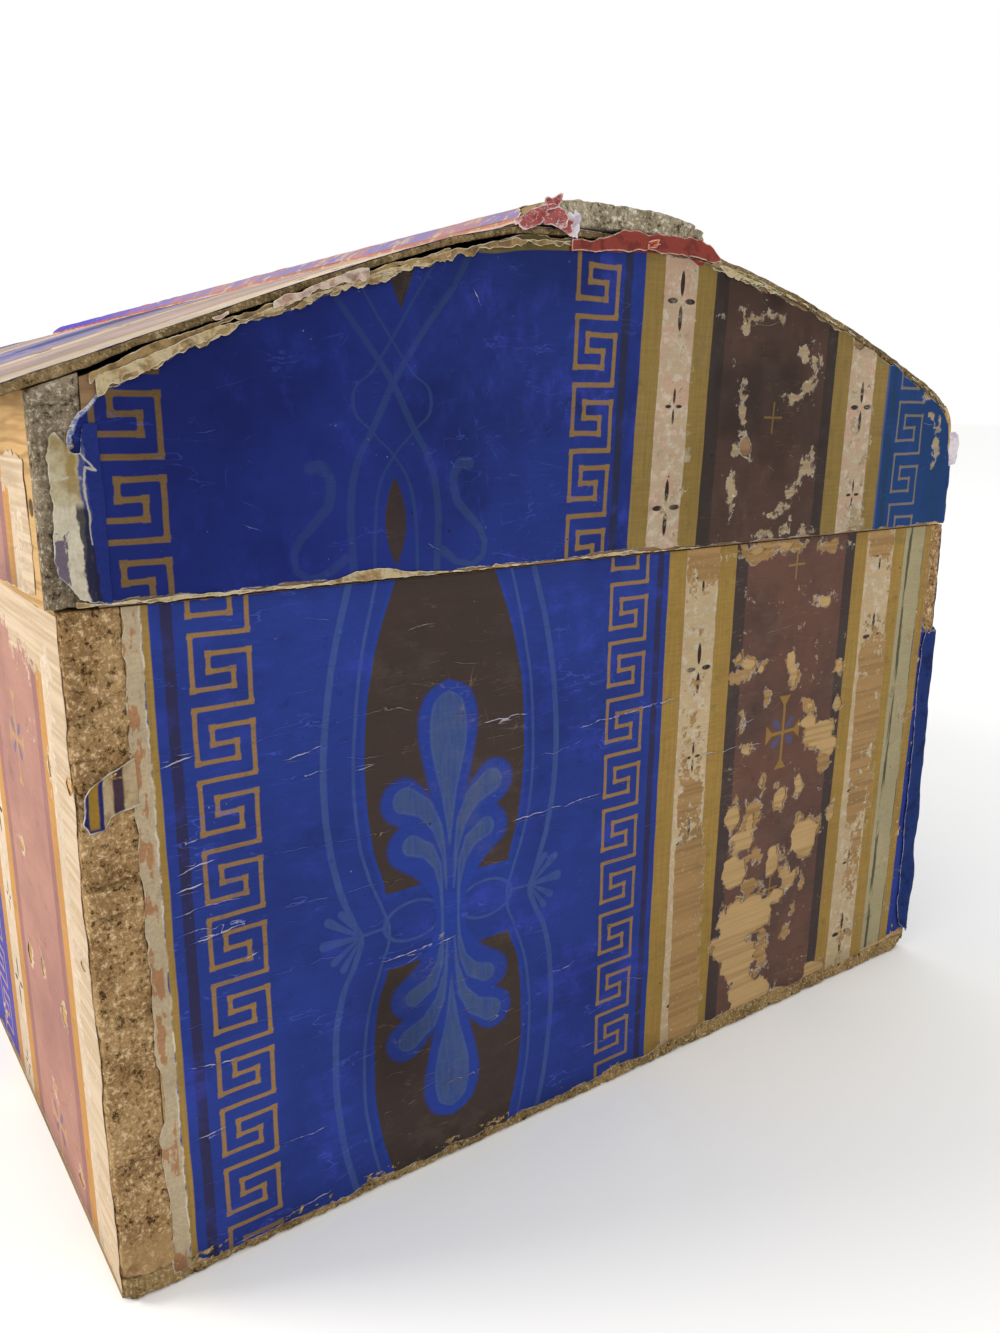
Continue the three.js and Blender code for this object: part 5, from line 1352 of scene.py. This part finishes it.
# ---------------------------------------------------------------- torn layers and loose bits at the near end
def loose(name, a, b, pos, K, mat, body, pap=None, thick=0.00035, extra=None):
    """A free scrap: pos(a, b) gives points in photograph millimetres (x beyond the end face, y, z)."""
    A, B = np.meshgrid(a, b, indexing="ij")
    P = pos(A, B)
    G = np.stack([(400 + P[0]) / 1000, (P[1] - 250) / 1000, P[2] / 1000], -1)
    du, dv = np.gradient(G, axis=0), np.gradient(G, axis=1)
    nrm = np.cross(du, dv)
    nrm /= np.linalg.norm(nrm, axis=-1)[..., None] + 1e-12
    attrs = dict(back=-nrm)
    if pap is not None:
        attrs["pap"] = np.stack([*pap(A, B), np.zeros_like(A)], -1)
        for k in ("crk", "crw", "scr", "scw"):
            attrs[k] = np.full_like(A, 9.0 if k in ("crk", "scr") else 0.0)
        attrs["dirt"] = np.zeros_like(A)
    if extra:
        attrs.update({k: f(A, B) for k, f in extra.items()})
    return sheet(name, G, K(A, B), attrs, mat, body, thick=thick, inward="back")


def arch_layer(i, y0, y1, top, bottom, out, seed, mat):
    ys, ts = np.linspace(y0, y1, int((y1 - y0) / 0.9)), np.linspace(0, 1, 14)

    def pos(A, B):
        up = dome_z(A) - top(A)
        lo = dome_z(A) - bottom(A) - 1.5
        z = lo + (up - lo) * B
        curl = out + 0.55 * noise2(A, B * 8, 9, seed, 3) + 0.9 * (1 - B) ** 2 * (0.4 + 0.8 * noise2(A, A * 0, 12, seed + 1, 2))
        return curl, A, z

    def K(A, B):
        up = dome_z(A) - top(A)
        lo = dome_z(A) - bottom(A) - 1.5
        z = lo + (up - lo) * B
        n1, n2 = noise2(A, A * 0, 5.5, seed, 4), noise2(A, A * 0 + 9, 7, seed + 2, 4)
        return np.minimum.reduce([z - (dome_z(A) - bottom(A)) + n1 * 1.9 + 0.7 * noise2(A, A * 0 + 4, 2.2, seed + 5, 2), up - 0.5 - z + n2 * 0.9, A - y0 - 1, y1 - 1 - A])

    return loose(f"lid_end_torn_layer_{i}", ys, ts, pos, K, mat, "lid")


arch_layer(1, 16, 156, lambda y: interp(y, [(16, 5.0), (30, 4.4), (40, 3.7), (70, 3.9), (120, 3.4), (156, 4.0)]), lambda y: interp(y, [(16, 9.6), (34, 8.6), (60, 6.8), (110, 6.2), (156, 6.2)]), 0.15, 3, LINING_TAN)
arch_layer(2, 18, 152, lambda y: interp(y, [(18, 7.4), (36, 6.4), (60, 5.4), (152, 5.0)]), lambda y: interp(y, [(10, 13.0), (34, 12.6), (39, 10.6), (46, 9.0), (62, 8.4), (70, 7.4), (110, 7.2), (126, 8.0), (131, 7.0), (152, 7.4)]), 0.5, 5, LINING)
arch_layer(3, 26, 134, lambda y: interp(y, [(26, 9.8), (36, 8.8), (46, 7.0), (134, 6.0)]), lambda y: interp(y, [(22, 12.8), (35, 12.4), (40, 10.6), (48, 9.0), (64, 8.6), (72, 7.4), (134, 7.6)]), 0.85, 7, LINING_TAN)
arch_layer(7, 80, 120, lambda y: interp(y, [(80, 3.4), (86, 1.9), (92, 2.6), (104, 2.4), (113, 1.2), (120, 2.6)]), lambda y: 5.6 + 0 * y, 1.1, 15, LINING_PINK)
arch_layer(8, 52, 66, lambda y: interp(y, [(52, 1.9), (58, 1.2), (66, 1.4)]), lambda y: interp(y, [(52, 2.6), (60, 3.2), (66, 2.2)]), 0.5, 17, LINING_PINK)
arch_layer(4, 140, 216, lambda y: 4.6 + 0 * y, lambda y: interp(y, [(140, 8.8), (180, 7.0), (216, 6.4)]), 0.2, 9, LINING_TAN)
arch_layer(5, 296, 492, lambda y: 2.6 + 0 * y, lambda y: interp(y, [(296, 6.2), (316, 7.0), (334, 5.6), (345, 3.8), (370, 3.6), (400, 3.2), (440, 3.2), (470, 3.4), (492, 5.0)]), -0.35, 11, SLOPE)
arch_layer(6, 298, 344, lambda y: 3.6 + 0 * y, lambda y: interp(y, [(298, 6.0), (326, 6.4), (344, 4.6)]), 0.1, 13, LINING)


def strip(name, body, y0, y1, lo, hi, out, mat, seed, rag=1.0, step=0.9, n=9, pap=None):
    ys, ts = np.linspace(y0, y1, int((y1 - y0) / step)), np.linspace(0, 1, n)
    pos = lambda A, B: (out + 0.35 * noise2(A, B * 5, 8, seed, 3), A, lo(A) - 1 + (hi(A) - lo(A) + 2) * B)
    K = lambda A, B: np.minimum.reduce([pos(A, B)[2] - lo(A) + noise2(A, A * 0, 6, seed, 4) * rag, hi(A) - pos(A, B)[2] + noise2(A, A * 0 + 5, 6.5, seed + 2, 4) * rag, A - y0 - 0.7, y1 - 0.7 - A])
    return loose(name, ys, ts, pos, K, mat, body, pap=pap)


strip("lid_end_seam_lip", "lid", 6, 300, lambda y: 275.0 + 0 * y, lambda y: interp(y, [(6, 277.6), (14, 275.9), (28, 275.7), (42, 276.7), (50, 276.4), (75, 275.8), (101, 275.9), (107, 277.1), (111, 278.6), (120, 279.2), (128, 278.6), (131, 277.4), (139, 276.5), (150, 275.4), (173, 275.2), (176, 276.8), (180, 275.3), (215, 275.4), (252, 276.6), (262, 275.4), (300, 275.2)]), 0.0, LINING, 4, rag=0.7)
strip("crown_red_lap", "lid", 213, 301, lambda y: interp(y, [(213, 403.6), (235, 404.9), (255, 406.2), (281, 405.9), (288, 404.8), (300, 404.6)]),
      lambda y: interp(y, [(213, 407.4), (230, 408.9), (235, 411.0), (241, 413.2), (250, 414.0), (256, 412.4), (260, 413.0), (270, 413.7), (287, 413.5), (293, 412.3), (297, 410.0), (301, 406.5)]), 0.9, M_RED, 6, rag=0.9, n=14)

# the red and white shreds over the front edge of the batten's end
for _i, (_y, _z, _w, _h, _a, _s, _m) in enumerate([(193.5, 413.8, 19, 8.0, 0.42, 3, M_SHRED), (203.0, 415.4, 18, 9.5, -0.1, 5, M_SHRED), (209.5, 412.6, 10, 8, -0.5, 7, M_SHRED), (203.5, 420.6, 11, 5.4, 0.3, 9, M_SHRED), (258, 409.2, 8, 3.6, 0.2, 4, M_ORANGE), (213.5, 413.0, 6.5, 11, 0.1, 6, M_PALE)]):
    _u, _v = np.linspace(-1, 1, 34), np.linspace(-1, 1, 28)

    def _pos(A, B, y=_y, z=_z, w=_w, h=_h, an=_a, sd=_s):
        yy, zz = A * w / 2, B * h / 2
        bulge = 1.4 + 1.5 * noise2(A * 9, B * 7, 6, sd, 3) + 1.6 * (A * 0.6 + 0.3) ** 2 + 1.2 * B ** 2
        return bulge * 0.9, y + yy * math.cos(an) - zz * math.sin(an), z + yy * math.sin(an) + zz * math.cos(an)

    def _K(A, B, w=_w, h=_h, sd=_s):
        return (0.80 - (np.abs(A) ** 4 + np.abs(B) ** 4) ** 0.25 + 0.30 * noise2(A * 9, B * 9, 5, sd + 1, 4)) * min(w, h) * 0.5

    loose(f"crown_paper_shred_{_i + 1}", _u, _v, _pos, _K, _m, "lid")

# loose corner of the lid's end paper, lifted at the front edge
def corner_free(A, B):
    edge = A - interp(B, [(275, 9), (281, 6.5), (287, 1.6), (300, 1.2), (318, 1.2), (328, 2.2), (332, 3.6)]) + noise2(B, A * 0, 6, 4, 4) * 1.1
    top = 332.5 - B + noise2(A, B, 5, 3, 3) * 1.6 - sstep(5, 10, A) * 7 + sstep(12, 17, A) * 30
    foot = B - interp(A, [(0, 290), (3, 284), (8, 278), (12, 276.5), (20, 276)]) + 1.4 * noise2(A, A * 0, 1.6, 5, 3)
    return np.minimum.reduce([edge, top, foot])


loose("lid_end_loose_corner", np.linspace(0, 19, 40), np.linspace(275.5, 335, 110),
      lambda A, B: (0.12 + 3.0 * sstep(15, 1, A) * sstep(274, 286, B) * (0.7 + 0.5 * noise2(B, A, 16, 3, 3)) + 0.35 * noise2(A, B, 6, 5, 2) * sstep(18, 12, A), A + 0.4 * noise2(B, A * 0, 9, 2, 2), B),
      lambda A, B: np.minimum(corner_free(A, B), 18.4 - A), M_FLAP, "lid", pap=lambda A, B: (A, B), extra=dict(tear=lambda A, B: np.clip(corner_free(A, B), 0, 12)))

# curl of torn paper behind the back edge, and the blue paper wrapped round the back corner
loose("back_edge_curl", np.linspace(0, 1, 22), np.linspace(306, 328, 34),
      lambda A, B: (-1.2 + 1.6 * np.sin(A * 2.8) + 0.4 * noise2(A * 9, B, 5, 2, 2), 497.0 + 10.4 * A * (0.7 + 0.3 * np.sin((B - 306) / 22 * math.pi)), B + 2.0 * A),
      lambda A, B: np.minimum.reduce([(0.93 - A) * 9 + noise2(B, A * 0, 5, 3, 4) * 1.8, B - 307.2 + noise2(A * 9, B, 4, 5, 2) * 0.9, 326.5 - B - A * 2 + noise2(A * 9, B, 4, 6, 2) * 0.9, A * 9 + 0.5]),
      M_PALE, "lid")


def wrap_pos(A, B):
    """Round the corner: A runs from the end face (below 0) on to the back face (above 0)."""
    out = 0.5 + 1.8 * sstep(-10, 0, A) * sstep(12, 0, A) * (0.55 + 0.5 * noise2(B, A * 0, 26, 5, 3)) + 0.3 * noise2(A, B, 9, 6, 2)
    out = out + 1.5 * sstep(24, 0, np.abs(B - 52)) * sstep(-9, 1, A) * sstep(16, 2, A)
    r = 2.4
    th = np.clip(A / (r * math.pi / 2), 0, 1) * math.pi / 2
    x = np.where(A <= 0, 0.0, -r + r * np.cos(th))
    y = np.where(A <= 0, 500 - r + A, 500 - r + r * np.sin(th))
    past = np.clip(A - r * math.pi / 2, 0, None)
    return x - past + out * np.where(A <= 0, 1.0, np.cos(th)), y + out * np.where(A <= 0, 0.0, np.sin(th)), B


loose("back_corner_wrap", np.linspace(-12.5, 17, 34), np.linspace(8, 220, 170), wrap_pos,
      lambda A, B: np.minimum.reduce([A + interp(B, [(8, 3), (24, 8.6), (34, 10.4), (200, 10.4), (212, 7.5)]) + noise2(B, A * 0, 12, 3, 4) * 0.8, 15 - A + noise2(B, A * 0, 10, 5, 4) * 1.4,
                                      B - 14 - np.abs(A) * 0.5 + noise2(A, B, 7, 2, 3) * 2.4, 211 - B + noise2(A, B, 6, 4, 3) * 2.6]),
      M_BLUE, "base", pap=lambda A, B: (A + 240, B))

# remnant of the front paper folded over on to the front board's end
def scrap_free(A, B):
    n = noise2(A, B, 5, 3, 3) * 0.7
    return np.minimum.reduce([
        A - interp(B, [(194, 3.8), (199.7, 2.2), (209, 3.2), (212.5, 5.0), (216, 11)]) + n,
        interp(A, [(2, 207), (3.2, 209), (5, 212.5), (12.2, 216.7), (16.9, 219.1), (22, 221.5)]) - B + n,
        B - interp(A, [(2, 197), (3.5, 195.7), (8.8, 196.7), (11.3, 200.5), (15, 201.6), (19.2, 202.7), (22, 203.4)]) + n,
    ])


loose("front_board_paper_scrap", np.linspace(1.2, 21.8, 44), np.linspace(193, 223, 62),
      lambda A, B: (-0.3 + 0.35 * noise2(A, B, 6, 4, 2) + 1.3 * sstep(2.2, 0.0, scrap_free(A, B)) + 0.7 * sstep(14, 3, A), A, B),
      lambda A, B: np.minimum(scrap_free(A, B), 21.5 - A + noise2(B, A * 0, 6, 2, 4) * 0.3), M_SCRAP, "base", pap=lambda A, B: (A, B), extra=dict(tear=lambda A, B: np.clip(scrap_free(A, B), 0, 12)))

# ---------------------------------------------------------------- studio
floor_me = bpy.data.meshes.new("floor")
bm = bmesh.new()
bmesh.ops.create_grid(bm, x_segments=4, y_segments=4, size=28)
bm.to_mesh(floor_me)
bm.free()
floor = bpy.data.objects.new("floor", floor_me)
scene.collection.objects.link(floor)
fn = Net("pale_floor")
fn.finish(fn.mix(rgb(252, 252, 251), rgb(250, 250, 249), fn.noise(fn.place(), 900, 2.0)), rough=0.95, specular=0.02)
floor_me.materials.append(fn.mat)


def area(name, at, to, size, power, colour=(1, 1, 1)):
    d = bpy.data.lights.new(name, "AREA")
    d.shape, d.size, d.energy, d.color = "DISK", size, power, colour
    o = bpy.data.objects.new(name, d)
    o.location = at
    o.rotation_mode = "QUATERNION"
    o.rotation_quaternion = (Vector(to) - Vector(at)).to_track_quat("-Z", "Y")
    scene.collection.objects.link(o)


area("key", (-1.4, -2.9, 1.9), (0.1, 0, 0.2), 1.6, 97, (1.0, 0.95, 0.88))
area("end_fill", (3.0, 0.2, 1.3), (0.2, 0, 0.2), 2.4, 7, (1.0, 0.97, 0.92))
world = bpy.data.worlds.new("world")
scene.world = world
world.use_nodes = True
world.node_tree.nodes["Background"].inputs[0].default_value = (1, 1, 1, 1)
world.node_tree.nodes["Background"].inputs[1].default_value = 1.0
